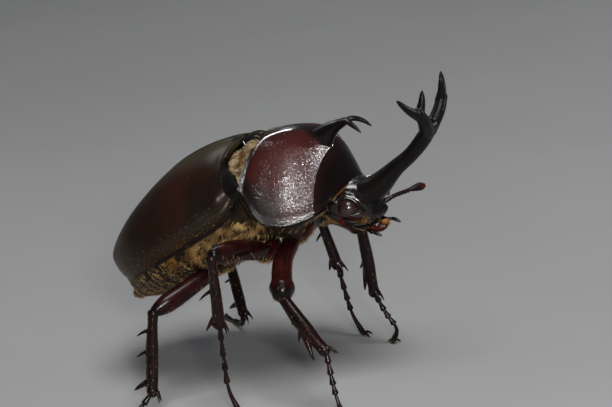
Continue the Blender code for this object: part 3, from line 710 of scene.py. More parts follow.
# Near-black, barely reflecting finish for the wing cases' front fold: painted shade in the gap before the shield
FOLD_PAINTED_SHADE = ShellFinish("fold_black", first=(0.003, 0.002, 0.002), second=(0.005, 0.0035, 0.003), cloud_mm=3.0,
                   gloss=(0.5, 0.6), pit_share=0.2, specular=0.04)
HORN = ShellFinish("horn_black", first=(0.004, 0.003, 0.003), second=(0.008, 0.005, 0.004), cloud_mm=3.0,
                   gloss=(0.26, 0.38), pit_mm=0.4, pit_share=0.4, pit_depth_mm=0.03, specular=0.16)
HEAD_SHELL = ShellFinish("head_black", first=(0.005, 0.004, 0.004), second=(0.012, 0.008, 0.007),
                         glow=(0.075, 0.012, 0.008), cloud_mm=2.5, gloss=(0.12, 0.18), pit_mm=0.3, pit_share=0.2,
                         pit_depth_mm=0.015, specular=0.4)
LEG = ShellFinish("leg_red_black", first=(0.015, 0.003, 0.0025), second=(0.040, 0.006, 0.0045),
                  rim=(0.005, 0.003, 0.003), cloud_mm=3.0, gloss=(0.16, 0.26), pit_mm=0.35, pit_share=0.3,
                  pit_depth_mm=0.015, specular=0.18)
SHIN = ShellFinish("shin_black", first=(0.006, 0.003, 0.003), second=(0.018, 0.005, 0.0045),
                   cloud_mm=2.5, gloss=(0.16, 0.26), pit_mm=0.42, pit_share=0.35, pit_depth_mm=0.03, specular=0.18)
FOOT = ShellFinish("foot_black", first=(0.006, 0.004, 0.004), second=(0.018, 0.007, 0.006), cloud_mm=2.0,
                   gloss=(0.16, 0.26), pit_share=0.1, specular=0.18)
BELLY = ShellFinish("belly_brown", first=(0.010, 0.006, 0.004), second=(0.025, 0.015, 0.008),
                    glow=(0.13, 0.075, 0.025), cloud_mm=1.6, gloss=(0.34, 0.46), pit_mm=0.35, pit_share=0.8,
                    pit_depth_mm=0.04, specular=0.1)
MOUTH = ShellFinish("mouth_red", first=(0.020, 0.003, 0.0025), second=(0.055, 0.008, 0.005), cloud_mm=1.2,
                    gloss=(0.24, 0.34), pit_share=0.1, specular=0.12)
FEELER = ShellFinish("feeler_amber", first=(0.045, 0.018, 0.006), second=(0.13, 0.065, 0.02), cloud_mm=0.8,
                     gloss=(0.16, 0.26), pit_share=0.0, specular=0.2)
CLUB = ShellFinish("club_red", first=(0.005, 0.003, 0.003), second=(0.012, 0.004, 0.004),
                   glow=(0.075, 0.009, 0.007), cloud_mm=1.2, gloss=(0.3, 0.4), pit_share=0.0, specular=0.14)
SKIN = ShellFinish("neck_orange", first=(0.06, 0.022, 0.006), second=(0.14, 0.052, 0.012), cloud_mm=1.5,
                   gloss=(0.3, 0.4), pit_share=0.2)
GOLD_HAIR = HairFinish("hair_gold", light=(0.92, 0.62, 0.25), deep=(0.22, 0.11, 0.033))
STRAW_HAIR = HairFinish("hair_straw", light=(0.98, 0.82, 0.52), deep=(0.45, 0.26, 0.10))
ORANGE_HAIR = HairFinish("hair_orange", light=(0.80, 0.40, 0.10), deep=(0.24, 0.085, 0.02))
EYE = EyeFinish("eye_brown")
FLOOR = FloorFinish("floor_pale")


def paint(piece: Piece, **amounts: Amount) -> None:
    """Write attributes on the face corners, such as how far each takes the rim's colour.

    Args:
        piece: The piece.
        amounts: The attributes' names, each with its amount at two shares of the surface.
    """
    shares = read(piece.data.uv_layers.active.data, "uv", 2)
    for name, amount in amounts.items():
        layer = piece.data.attributes.new(name, "FLOAT", "CORNER")
        layer.data.foreach_set("value", [clamp(amount(u, v)) for u, v in shares])


def stain(piece: Piece, name: str, amount: Callable[[Vector], float]) -> None:
    """Write an attribute on each point of a piece, from its place in the drawing."""
    layer = piece.data.attributes.new(name, "FLOAT", "POINT")
    layer.data.foreach_set("value", [clamp(amount(vertex.co)) for vertex in piece.data.vertices])


@dataclass
class Shield:
    """The domed front shield and the short forked horn that grows out of it.

    A row holds a share of the length from behind, the crest's x and z, the margin's x, the half width and the
    margin's z. The share across runs over the arch as far as over says, and from there back under it.
    """

    rows: Rows = ((0.00, -14.4, 36.0, -14.1, 9.8, 31.1), (0.15, -12.9, 36.7, -12.6, 10.5, 28.85),
                  (0.35, -10.0, 37.1, -10.6, 11.0, 26.4), (0.55, -7.0, 36.9, -7.4, 10.9, 25.95),
                  (0.75, -4.8, 35.6, -4.9, 9.3, 26.3), (0.90, -3.2, 32.6, -3.2, 7.4, 27.0),
                  (1.00, -1.3, 29.3, -2.4, 5.6, 27.8))
    fullness: Rows = ((0.0, 2.25), (0.5, 2.25), (0.8, 1.92), (1.0, 1.9))
    sway: float = 0.95
    length: float = 15.0
    cap: float = 0.03
    bead: Rows = ((0.24, 0.0, 0.34), (-0.108, 0.8, 0.4))
    over: float = 0.82
    hollow: float = 0.35
    sunk: float = 0.12
    centre: float = 0.4
    face_from: float = 0.82
    face_far: float = 0.08
    past_crest: tuple[float, float] = (0.42, 0.5)
    stem: Line = ((-6.6, 0.0, 33.8), (-5.2, 0.0, 35.4), (-3.9, 0.0, 36.55), (-2.7, 0.0, 37.25),
                  (-1.6, 0.0, 37.7))
    stem_sizes: Rows = ((0.0, 1.9, 2.4), (0.25, 1.5, 1.95), (0.5, 1.2, 1.45), (0.78, 0.95, 0.88), (1.0, 0.85, 0.6))
    tine: Line = ((-2.4, 0.2, 37.5), (-0.75, 0.78, 38.0), (0.1, 1.38, 37.75), (0.95, 1.68, 37.25),
                  (1.75, 1.82, 36.55))
    tine_sizes: Rows = ((0.0, 0.62, 0.6), (0.35, 0.48, 0.42), (0.65, 0.38, 0.34), (0.88, 0.22, 0.22),
                        (1.0, 0.08, 0.08))

    def place(self, u: float, v: float) -> Vector:
        """Find a point of the shield's skin.

        Args:
            u: Share of the length, from behind.
            v: Share across.

        Returns:
            The point.
        """
        t, closing = capped(u, self.cap)
        crest_x, crest_z, edge_x, half_width, edge_z = smooth_rows(self.rows, t)
        edge = Vector((edge_x, 0.0, edge_z))
        rise = Vector((crest_x - edge_x, 0.0, crest_z - edge_z))
        if v < self.over:
            angle = math.pi * (v / self.over - 0.5)
            up, out = arch(angle, *smooth_rows(self.fullness, t))
            sway = self.sway * (1 - t)**3 * abs(math.sin(2 * angle))
            gap = min((math.pi / 2 - abs(angle)) * half_width, min(t, 1 - t) * self.length)
            grow = 1.0 + ridges(self.bead, gap) / half_width
            point = edge + rise * up * grow + Vector((sway, half_width * out * grow, 0.0))
        else:
            share = 1 - 2 * (v - self.over) / (1 - self.over)
            point = edge + Vector((0.0, half_width * share, self.hollow * (1 - share**2) - self.sunk))
        middle = edge + rise * self.centre
        return middle + (point - middle) * closing

    def build(self) -> Piece:
        """Model and dress the shield.

        Returns:
            The shield.
        """
        shell = wrap("shield", 120, 150, self.place)

        def aside(v: float) -> float:
            """How far down a side from the crest: 0 on the crest, 1 at the margin."""
            return clamp(abs(2 * v / self.over - 1))

        def dark(u: float, v: float) -> float:
            """Share of the rim's black: the front face, the margins, round the horn's foot and more towards the hind;
            also painted shade in the hollow above the lower margin and a painted dark reflection along the crest.
            """
            side = aside(v)
            foot = math.hypot((u - 0.72) / 0.18, side / 0.14)
            return max(ease(0.83, 0.90, u), ease(0.10, 0.06, u), ease(0.965, 0.99, side),
                       # The second term on the next line is a painted dark reflection along the crest
                       ease(1.3, 0.7, foot) * ease(0.8, 0.76, u), ease(0.055, 0.035, side) * ease(0.8, 0.7, u),
                       0.75 * ease(0.22, 0.0, u) * (1 - 0.5 * side),
                       # Painted shade in the hollow above the lower margin, towards the hind
                       0.85 * ease(0.70, 0.86, side) * ease(0.62, 0.38, u))

        def warm(u: float, v: float) -> float:
            """Share of the brighter red over the middle of each side."""
            return hump(u, 0.52, 0.24) * hump(aside(v), 0.42, 0.3)

        def bare(u: float, v: float) -> float:
            """Where there is little grain: beside the crest, behind and on the front face."""
            side = aside(v)
            return max(0.9 * ease(0.40, 0.15, u) * ease(0.06, 0.10, u),
                       0.97 * ease(0.36, 0.2, side) * ease(0.72, 0.62, u), ease(0.83, 0.87, u))

        def glossy(u: float, v: float) -> float:
            """The line beside the crest that mirrors the sky behind."""
            return ease(0.035, 0.055, aside(v)) * ease(0.3, 0.18, aside(v)) * ease(0.72, 0.62, u)

        paint(shell, rim=dark, glow=warm, smooth=bare, polish=glossy)
        self.split_front(shell)
        return hand_over(shell, SHIELD, "shield", "pronotum", crease=60.0)

    def split_front(self, shell: Piece) -> None:
        """Take the smooth front face off the pitted shield and dress it as a piece of its own.

        It reaches further back on the side that is past the crest, as face_far says.

        Args:
            shell: The whole shield.
        """
        corners = shell.data.uv_layers.active.data
        ahead = []
        for face in shell.data.polygons:
            u, v = sum((corners[k].uv for k in face.loop_indices), Vector((0.0, 0.0))) / face.loop_total
            ahead.append(u > self.face_from - self.face_far * ease(*self.past_crest, v))
        bpy.context.tool_settings.mesh_select_mode = (False, False, True)
        with editing(shell):
            bpy.ops.mesh.select_all(action="DESELECT")
            bpy.ops.object.mode_set(mode="OBJECT")
            shell.data.polygons.foreach_set("select", ahead)
            bpy.ops.object.mode_set(mode="EDIT")
            bpy.ops.mesh.separate(type="SELECTED")
        front = next(piece for piece in bpy.context.selected_objects if piece is not shell)
        front.name = "shield_front"
        hand_over(front, FACE, "shield", crease=60.0)

    def build_horn(self) -> None:
        """Model and dress the forked horn of the shield."""
        pieces = [tube("stem", self.stem, self.stem_sizes, rows=36, columns=28)]
        for side in Side:
            line = [(x, y * side.value, z) for x, y, z in self.tine]
            pieces.append(tube("tine", line, self.tine_sizes, rows=30, columns=16))
        horn = join("shield_horn", pieces)
        melt(horn, 0.09, 10)
        hand_over(horn, HORN, "shell", "thoracic_horn")


@dataclass
class WingCases:
    """The two wing cases and the small shield between their bases.

    A row holds a share of the length from the front, the crest's places along and over the hind axis, the edge's
    place along it, the half width and the edge's height. The share across runs from the seam down to the edge.
    A knob is a height, and a place and a width for each of the two shares.
    """

    rows: Rows = ((0.00, 2.2, 8.4, 2.2, 10.4, 2.0), (0.15, -2.5, 9.9, -1.5, 11.6, -0.2),
                  (0.35, -9.5, 10.3, -8.0, 12.1, -0.5), (0.55, -16.6, 8.9, -14.6, 11.8, -0.3),
                  (0.72, -22.2, 6.9, -20.0, 9.6, -0.3), (0.86, -25.5, 4.9, -23.6, 6.5, -0.3),
                  (0.95, -25.5, 3.0, -24.6, 4.1, -0.1), (1.00, -24.8, 1.4, -24.7, 2.6, 0.0))
    fullness: float = 2.3
    wall: float = 0.55
    seam: float = 0.06
    turn: tuple[float, float] = (0.45, 0.78)
    fold_at: tuple[float, float] = (0.012, 0.055)
    fold_from: float = 0.4
    fold_line: float = 0.006
    fold_depth: float = 1.3
    fold_lip: float = 0.12
    notch: float = 0.75
    girth: float = 10.0
    ribs: Rows = ((0.16, 0.0, 0.02), (-0.1, 0.055, 0.02), (0.28, 1.0, 0.022), (-0.2, 0.935, 0.03))
    knobs: Rows = ((0.55, 0.1, 0.06, 0.84, 0.09), (0.35, 0.84, 0.06, 0.5, 0.14))
    base: Rows = ((0.18, 0.0, 0.018), (-0.1, 0.04, 0.02))
    shield_outline: Rows = ((2.9, 0.0), (2.8, 1.6), (2.3, 2.3), (0.8, 1.75), (-1.0, 0.75), (-1.95, 0.0))

    def crease(self, v: float) -> float:
        """Where the folded front of a wing case begins."""
        return self.fold_at[0] + (self.fold_at[1] - self.fold_at[0]) * ease(*self.turn, v)

    def relief(self, u: float, v: float) -> float:
        """Find how far a wing case stands out.

        Args:
            u: Share of the length.
            v: Share across.

        Returns:
            The height, in millimetres.
        """
        knobs = sum(high * hump(u, at, long) * hump(v, down, wide) for high, at, long, down, wide in self.knobs)
        aside, crease = ease(*self.turn, v), self.crease(v)
        fold = self.fold_lip * hump(u, crease, 0.008) - self.fold_depth * aside * ease(crease, crease - 0.05, u)
        return ridges(self.ribs, v) + knobs + ridges(self.base, u) * (1 - aside) + fold * ease(0.2, 0.45, v)

    def case_point(self, side: Side, u: float, v: float) -> Vector:
        """Find a point of a wing case.

        Args:
            side: The side that it covers.
            u: Share of the length.
            v: Share across.

        Returns:
            The point.
        """
        crest_u, crest_w, edge_u, half_width, edge_w = smooth_rows(self.rows, u)
        up, out = arch(math.pi / 2 * v, self.fullness)
        grow = 1.0 + self.relief(u, v) / self.girth
        along = edge_u + (crest_u - edge_u) * up - self.notch * hump(v, 0.45, 0.22) * ease(0.12, 0.0, u)
        across = side.value * (self.seam + half_width * out * grow)
        return HIND.place(along, across, edge_w + (crest_w - edge_w) * up * grow)

    def build_case(self, side: Side) -> Piece:
        """Model and dress one wing case.

        Args:
            side: The side that it covers.

        Returns:
            The wing case.
        """
        case = wrap("wing_case_" + side.word, 150, 100, functools.partial(self.case_point, side))

        def dark(u: float, v: float) -> float:
            """Share of the rim's black: the seam and the edges, and painted shade on the front fold."""
            return max(ease(0.97, 0.995, v), ease(0.03, 0.01, v),
                       # Painted shade: the front fold, ahead of the crease on the lower side, is laid black
                       ease(*self.turn, v) * ease(self.crease(v), self.crease(v) - 0.012, u))

        def olive(u: float, v: float) -> float:
            """Share of the olive brown: over the back, towards the tip and along the edge."""
            return clamp(0.9 * ease(0.45, 0.1, v) + 0.8 * ease(0.55, 0.88, u) + 0.2 * ease(0.86, 0.93, v))

        # The rim attribute here also carries painted shade on the front fold
        paint(case, rim=dark, glow=olive)
        modify(case, "SOLIDIFY", thickness=self.wall, offset=-1.0, use_even_offset=False)
        hand_over(case, WING_CASE, "wing_case", "elytron_" + side.word, crease=60.0)
        # The front fold's faces, beyond the fold line, take the near-black fold finish as painted shade
        case.data.materials.append(FOLD_PAINTED_SHADE.material())
        shares = case.data.uv_layers.active.data
        for face in case.data.polygons:
            u, v = shares[face.loop_start].uv
            face.material_index = int(v > self.fold_from and u < self.crease(v) - self.fold_line)
        return case

    def build_small_shield(self) -> None:
        """Model and dress the small shield between the wing cases."""
        half = self.shield_outline
        loop = half + tuple((a, -b) for a, b in half[-2:0:-1])
        rows = tuple((k / len(loop), *point) for k, point in enumerate(loop + loop[:1]))
        centre_u, front_u, base_w, slope, fall, depth, flat = 0.9, 2.2, 8.37, -0.33, 0.045, 0.6, 0.8

        def place(u: float, v: float) -> Vector:
            """Point of the plate: out from its middle and round it, then down its edge."""
            edge_u, edge_y = smooth_rows(rows, v)
            share = clamp(u / flat)
            along, across = centre_u + (edge_u - centre_u) * share, edge_y * share
            drop = depth * clamp((u - flat) / (1 - flat))
            dome = 0.14 * (1 - share**2) - 0.06 * ease(0.85, 1.0, share)
            return HIND.place(along, across, base_w + slope * (along - front_u) - fall * across**2 + dome - drop)

        hand_over(wrap("small_shield", 26, 60, place), HEAD_SHELL, "shell", "scutellum")


@dataclass
class Trunk:
    """What shows of the body under the shells: chest, waist and ringed belly.

    A row holds a place along the hind axis, the half width, and the heights of the side, the back and the belly.
    A keel's row holds a share of the shield's length, and the height and the place of the chest's underside.
    """

    shield: Shield
    rows: Rows = ((6.5, 8.2, -0.5, 5.8, -4.6), (4.6, 9.0, -0.5, 7.5, -5.4), (2.2, 9.4, -0.5, 7.3, -6.0),
                  (-3.0, 10.3, -0.6, 8.2, -6.5), (-9.5, 10.8, -0.7, 8.8, -6.4), (-15.5, 10.4, -0.6, 7.9, -5.8),
                  (-20.4, 8.2, -0.4, 5.6, -5.0), (-23.6, 5.7, -0.4, 3.5, -4.5), (-25.1, 4.1, -0.7, 1.5, -4.0),
                  (-26.1, 3.1, -1.1, -0.4, -3.6))
    fullness: float = 2.2
    waist: float = 1.2
    belly_start: float = -9.5
    belly_end: float = -26.1
    ring_ends: Sequence[float] = (-12.4, -15.2, -18.0, -20.8, -23.4)
    ring_step: float = 0.3
    keel: Rows = ((0.10, 25.4, -10.6), (0.35, 21.8, -9.9), (0.58, 22.0, -8.4), (0.72, 24.2, -6.9), (0.86, 25.4, -5.2),
                  (0.97, 26.2, -3.8))
    keel_fullness: float = 2.2
    chest_reach: tuple[float, float] = (0.10, 0.87)
    chest_inset: float = 1.9
    chest_drop: float = 0.35
    chest_top: float = 0.8
    chest_centre: float = 1.5
    caps: tuple[float, float] = (0.04, 0.05)
    lap: float = 0.1
    skins: dict[str, Piece] = field(default_factory=dict)

    def ring_relief(self, along: float) -> float:
        """Find the steps of the belly's rings, each of which slides over the next.

        Args:
            along: The place on the hind axis.

        Returns:
            How far the belly stands out there, in millimetres.
        """
        starts = (self.belly_start, *self.ring_ends)
        for start, end in zip(starts, self.ring_ends + (self.belly_end,)):
            if along >= end:
                share = (start - along) / (start - end)
                return self.ring_step * (ease(0.0, 0.75, share) - 0.6 - 0.4 * ease(0.93, 1.0, share))
        return -0.4 * self.ring_step

    def trunk_point(self, start: float, end: float, ringed: bool, u: float, v: float) -> Vector:
        """Find a point of a stretch of the trunk, closed at both ends.

        Args:
            start: Where it starts on the hind axis.
            end: Where it ends there.
            ringed: Whether it has the belly's rings.
            u: Share of its length.
            v: Share round it, from the back.

        Returns:
            The point.
        """
        t, closing = capped(u, self.caps[0])
        along = start + (end - start) * t
        half_width, side_w, back_w, belly_w = smooth_rows(self.rows, along)
        up, out = arch(math.tau * v, self.fullness)
        height = back_w - side_w if up > 0 else side_w - belly_w
        step = self.ring_relief(along) if ringed else 0.0
        middle = HIND.place(along, 0.0, side_w)
        point = HIND.place(along, (half_width + step) * out, side_w + (height + step) * up)
        return middle + (point - middle) * closing

    def chest_point(self, u: float, v: float) -> Vector:
        """Find a point of the underside of the front body.

        Args:
            u: Share of its length.
            v: Share round it, from the top.

        Returns:
            The point.
        """
        share, closing = capped(u, self.caps[1])
        t = self.chest_reach[0] + self.chest_reach[1] * share
        keel_z, keel_x = smooth_rows(self.keel, t)
        _, _, edge_x, half_width, edge_z = smooth_rows(self.shield.rows, t)
        centre = Vector((edge_x, 0.0, edge_z - self.chest_drop))
        up, out = arch(math.tau * v, self.keel_fullness)
        drop = (Vector((keel_x, 0.0, keel_z)) - centre) * -up if up < 0 else UP * self.chest_top * up
        point = centre + drop + Vector((0.0, (half_width - self.chest_inset) * out, 0.0))
        middle = centre - UP * self.chest_centre
        return middle + (point - middle) * closing

    def build(self) -> None:
        """Model and dress the trunk's stretches, the collar, the neck and the plate at the tail."""
        front, lap, stretch = self.rows[0][0], self.lap, functools.partial(functools.partial, self.trunk_point)
        stretches = {
            "waist": ("mesothorax", stretch(front, self.waist + lap, False)),
            "rear_chest": ("metathorax", stretch(self.waist - lap, self.belly_start, False)),
            "belly": ("abdomen", stretch(self.belly_start - lap, self.belly_end, True)),
            "front_chest": ("prosternum", self.chest_point),
        }
        for name, (node, place) in stretches.items():
            self.skins[name] = hand_over(wrap(name, 90, 80, place), BELLY, "hairy_underside", node, crease=60.0)
        rim = [self.shield.place(0.972, 0.03 + (self.shield.over - 0.06) * k / 24) for k in range(25)]
        collar = tube("collar", [point + Vector((0.12, 0.0, 0.0)) for point in rim],
                      ((0.0, 0.1), (1.0, 0.1)), rows=120, columns=12, upright=Vector((1.0, 0.0, 0.0)))
        self.skins["collar"] = hand_over(collar, SKIN, "hairy_underside")
        neck = tube("neck", ((-7.2, 0.0, 28.2), (-5.0, 0.0, 27.5), (-3.0, 0.0, 27.0)),
                    ((0.0, 5.2, 4.0), (0.5, 4.6, 3.3), (1.0, 3.9, 2.7)), rows=30, columns=40, dome=0.2)
        self.skins["neck"] = hand_over(neck, SKIN, "hairy_underside")
        line = [HIND.place(along, 0.0, over) for along, over in ((-25.9, -2.3), (-26.6, -2.35), (-27.2, -2.4))]
        tail = tube("tail_plate", line, ((0.0, 3.0, 1.35), (0.6, 2.8, 1.2), (1.0, 2.3, 0.9)), rows=24, columns=40,
                    dome=0.35)
        self.skins["tail_plate"] = hand_over(tail, SKIN, "shell", "pygidium")


@dataclass
class Head:
    """Head capsule with its eyes, the ridges over them and the lip in front.

    A row holds a share of the length from behind, the crown's x and z, the side's x, the half width, the side's z,
    and the throat's x and z.
    """

    rows: Rows = ((0.00, -4.6, 29.0, -4.6, 4.2, 27.0, -4.6, 24.2), (0.25, -2.4, 29.5, -2.4, 4.8, 26.9, -2.4, 23.4),
                  (0.50, 0.0, 29.2, -0.2, 4.5, 26.3, 0.0, 23.2), (0.75, 2.0, 28.0, 1.4, 3.3, 25.4, 1.6, 23.3),
                  (0.90, 2.5, 26.2, 2.1, 2.4, 24.9, 2.2, 23.7), (1.00, 2.8, 25.0, 2.7, 1.8, 24.5, 2.7, 24.1))
    fullness: float = 2.3
    cap: float = 0.05
    cheek: Point = (-0.4, 4.3, 25.0)
    cheek_reach: float = 1.5
    eye_radius: float = 1.45
    socket_depth: float = 0.6
    socket_width: float = 1.7
    plate: Line = ((-2.6, 3.9, 27.5), (-1.7, 3.9, 28.0), (-0.6, 3.7, 28.4), (0.55, 3.6, 28.2),
                   (1.2, 3.5, 27.7), (1.6, 3.35, 27.0), (1.8, 3.0, 26.2))
    plate_sizes: Rows = ((0.0, 0.3, 0.3), (0.3, 0.6, 0.5), (0.6, 0.72, 0.55), (0.85, 0.55, 0.5), (1.0, 0.25, 0.25))
    ring: Line = ((-1.6, 4.3, 26.5), (-1.5, 4.5, 27.2), (-0.95, 4.6, 28.0), (0.1, 4.5, 28.33),
                  (0.95, 4.4, 28.0), (1.4, 4.3, 27.45), (1.6, 4.15, 26.9))
    ring_sizes: Rows = ((0.0, 0.12), (0.3, 0.16), (0.8, 0.17), (1.0, 0.12))
    canthus: Line = ((2.0, 3.7, 26.1), (1.8, 4.3, 26.2), (1.4, 4.8, 26.1), (0.9, 5.0, 26.0),
                     (0.3, 5.1, 25.85), (-0.2, 4.9, 25.6))
    canthus_sizes: Rows = ((0.0, 0.25, 0.2), (0.5, 0.14, 0.12), (1.0, 0.07, 0.07))
    lip: Line = ((2.1, -2.1, 24.9), (2.7, -1.3, 25.0), (2.9, 0.0, 24.9), (2.7, 1.3, 25.0),
                 (2.1, 2.1, 24.9))
    lip_sizes: Rows = ((0.0, 0.3, 0.16), (0.5, 0.45, 0.2), (1.0, 0.3, 0.16))
    skins: dict[str, Piece] = field(default_factory=dict)

    def place(self, u: float, v: float) -> Vector:
        """Find a point of the capsule, which has a hollow round each eye.

        Args:
            u: Share of the length, from behind.
            v: Share round it, from the crown.

        Returns:
            The point.
        """
        t, closing = capped(u, self.cap)
        crown_x, crown_z, side_x, half_width, side_z, throat_x, throat_z = smooth_rows(self.rows, t)
        crown, side = Vector((crown_x, 0.0, crown_z)), Vector((side_x, 0.0, side_z))
        up, out = arch(math.tau * v, self.fullness)
        towards = crown - side if up > 0 else side - Vector((throat_x, 0.0, throat_z))
        point = side + towards * up + Vector((0.0, half_width * out, 0.0))
        for sign in (-1.0, 1.0):
            eye = Vector((EYE_CENTRE[0], EYE_CENTRE[1] * sign, EYE_CENTRE[2]))
            point -= Vector((0.0, sign * self.socket_depth * hump((point - eye).length, 0.0, self.socket_width), 0.0))
        return HEAD.place(side + (point - side) * closing)

    def build(self) -> None:
        """Model and dress the capsule, the ridges and the eyes."""
        pieces = [wrap("capsule", 100, 100, self.place),
                  tube("lip", HEAD.line(self.lip), self.lip_sizes, rows=50, columns=16)]
        for side in Side:
            pieces.append(tube("plate", HEAD.line(self.plate, side), self.plate_sizes, rows=60, columns=18))
        head = join("head_shell", pieces)
        melt(head, 0.1, 9)
        cheeks = [HEAD.place(self.cheek, side) for side in Side]
        stain(head, "glow", lambda place: max(hump((place - cheek).length, 0.0, self.cheek_reach)
                                              for cheek in cheeks))
        self.skins["head"] = hand_over(head, HEAD_SHELL, "shell", "head", crease=70.0)
        for side in Side:
            self.build_eye(side)

    def build_eye(self, side: Side) -> None:
        """Model and dress one eye, the ring over it and the thin process that runs onto it from the front.

        Args:
            side: The side of the head.
        """
        select()
        bpy.ops.mesh.primitive_uv_sphere_add(segments=64, ring_count=40, radius=self.eye_radius,
                                             location=HEAD.place(EYE_CENTRE, side))
        bpy.ops.object.transform_apply(location=True)
        hand_over(named("eye_ball_" + side.word), EYE, "eye", "eye_" + side.word, crease=180.0)
        pieces = [tube("ring", HEAD.line(self.ring, side), self.ring_sizes, rows=60, columns=14),
                  tube("canthus", HEAD.line(self.canthus, side), self.canthus_sizes, rows=40, columns=12)]
        hand_over(join("eye_frame_" + side.word, pieces), HEAD_SHELL, "shell")


@dataclass
class HeadHorn:
    """The long horn of the head, forked twice."""

    shaft: Line = ((-0.6, 0.0, 26.4), (0.5, 0.0, 27.2), (3.15, 0.0, 28.95), (5.95, 0.0, 31.3),
                   (8.6, 0.0, 33.3), (11.1, 0.0, 35.9), (12.1, 0.0, 37.6))
    sizes: Rows = ((0.0, 3.1, 2.4), (0.06, 2.9, 2.3), (0.25, 1.95, 1.7), (0.45, 1.22, 1.12), (0.64, 1.02, 0.95),
                   (0.86, 1.3, 1.0), (1.0, 1.7, 0.9))
    branch: Line = ((11.7, 0.3, 36.6), (12.5, 2.2, 38.7), (12.6, 3.8, 40.5))
    branch_sizes: Rows = ((0.0, 1.1, 1.0), (1.0, 0.8, 0.75))
    outer: Line = ((12.4, 3.4, 39.9), (12.0, 5.3, 41.3), (11.3, 6.8, 43.1))
    inner: Line = ((12.5, 3.4, 39.9), (13.0, 3.1, 41.6), (13.2, 2.8, 43.3))
    tine_sizes: Rows = ((0.0, 0.8, 0.75), (0.55, 0.52, 0.5), (0.88, 0.32, 0.3), (1.0, 0.12, 0.12))

    def keel(self, t: float, v: float) -> float:
        """Low ridge along the front of the shaft, and a flatter one behind."""
        return 0.14 * hump(v, 0.25, 0.06) * ease(0.15, 0.4, t) + 0.1 * hump(v, 0.75, 0.08) * ease(0.2, 0.5, t)

    def build(self) -> None:
        """Model and dress the horn, its parts grown together."""
        pieces = [tube("shaft", HEAD.line(self.shaft), self.sizes, rows=80, columns=40, relief=self.keel)]
        for side in Side:
            pieces.append(tube("branch", HEAD.line(self.branch, side), self.branch_sizes, rows=30, columns=24))
            for tine in (self.outer, self.inner):
                pieces.append(tube("tine", HEAD.line(tine, side), self.tine_sizes, rows=36, columns=18))
        horn = join("head_horn", pieces)
        melt(horn, 0.1, 8)
        hand_over(horn, HORN, "shell", "cephalic_horn")


@dataclass
class Feeler:
    """One jointed feeler: a stem of beads behind a long first joint, and a club of three leaves."""

    stem: Line
    club: Line
    finish: ShellFinish = FOOT
    scape_end: float = 0.42
    beads: int = 7
    bead_height: float = 0.13
    bead_foot: float = 0.05
    stem_radius: float = 0.28
    root_radius: float = 0.37
    leaf_gap: float = 0.2
    leaf_step: float = 0.08
    leaf_sizes: Rows = ((0.0, 0.1, 0.18), (0.3, 0.15, 0.34), (0.75, 0.18, 0.54), (0.93, 0.16, 0.54),
                        (1.0, 0.12, 0.4))

    def build(self, name: str, node: str) -> None:
        """Model and dress the feeler.

        Args:
            name: Name of the piece.
            node: The node that it replaces.
        """
        def beaded(t: float, v: float) -> float:
            """Swelling of the long first joint, then of each bead."""
            if t < self.scape_end:
                return 0.1 * math.sin(math.pi * t / self.scape_end)
            share = (t - self.scape_end) / (1 - self.scape_end) * self.beads % 1.0
            return self.bead_height * math.sin(math.pi * share) - self.bead_foot

        sizes = ((0.0, self.root_radius), (0.1, self.stem_radius), (1.0, self.stem_radius))
        stem = tube(name, HEAD.line(self.stem), sizes, rows=90, columns=16, relief=beaded)
        start, end = HEAD.line(self.club)
        heading = (end - start).normalized()
        across = heading.cross(UP).normalized()
        leaves = []
        for k in (-1, 0, 1):
            offset = across * self.leaf_gap * k + heading * self.leaf_step * k
            line = (start + offset * 0.5, (start + end) / 2 + offset, end + offset)
            leaves.append(tube(name + "_leaf", line, self.leaf_sizes, rows=28, columns=20))
        hand_over(stem, self.finish, "leg", node)
        club = join(name + "_club", leaves)
        paint(club, glow=lambda u, v: ease(0.62, 0.9, u))
        hand_over(club, CLUB, "leg")


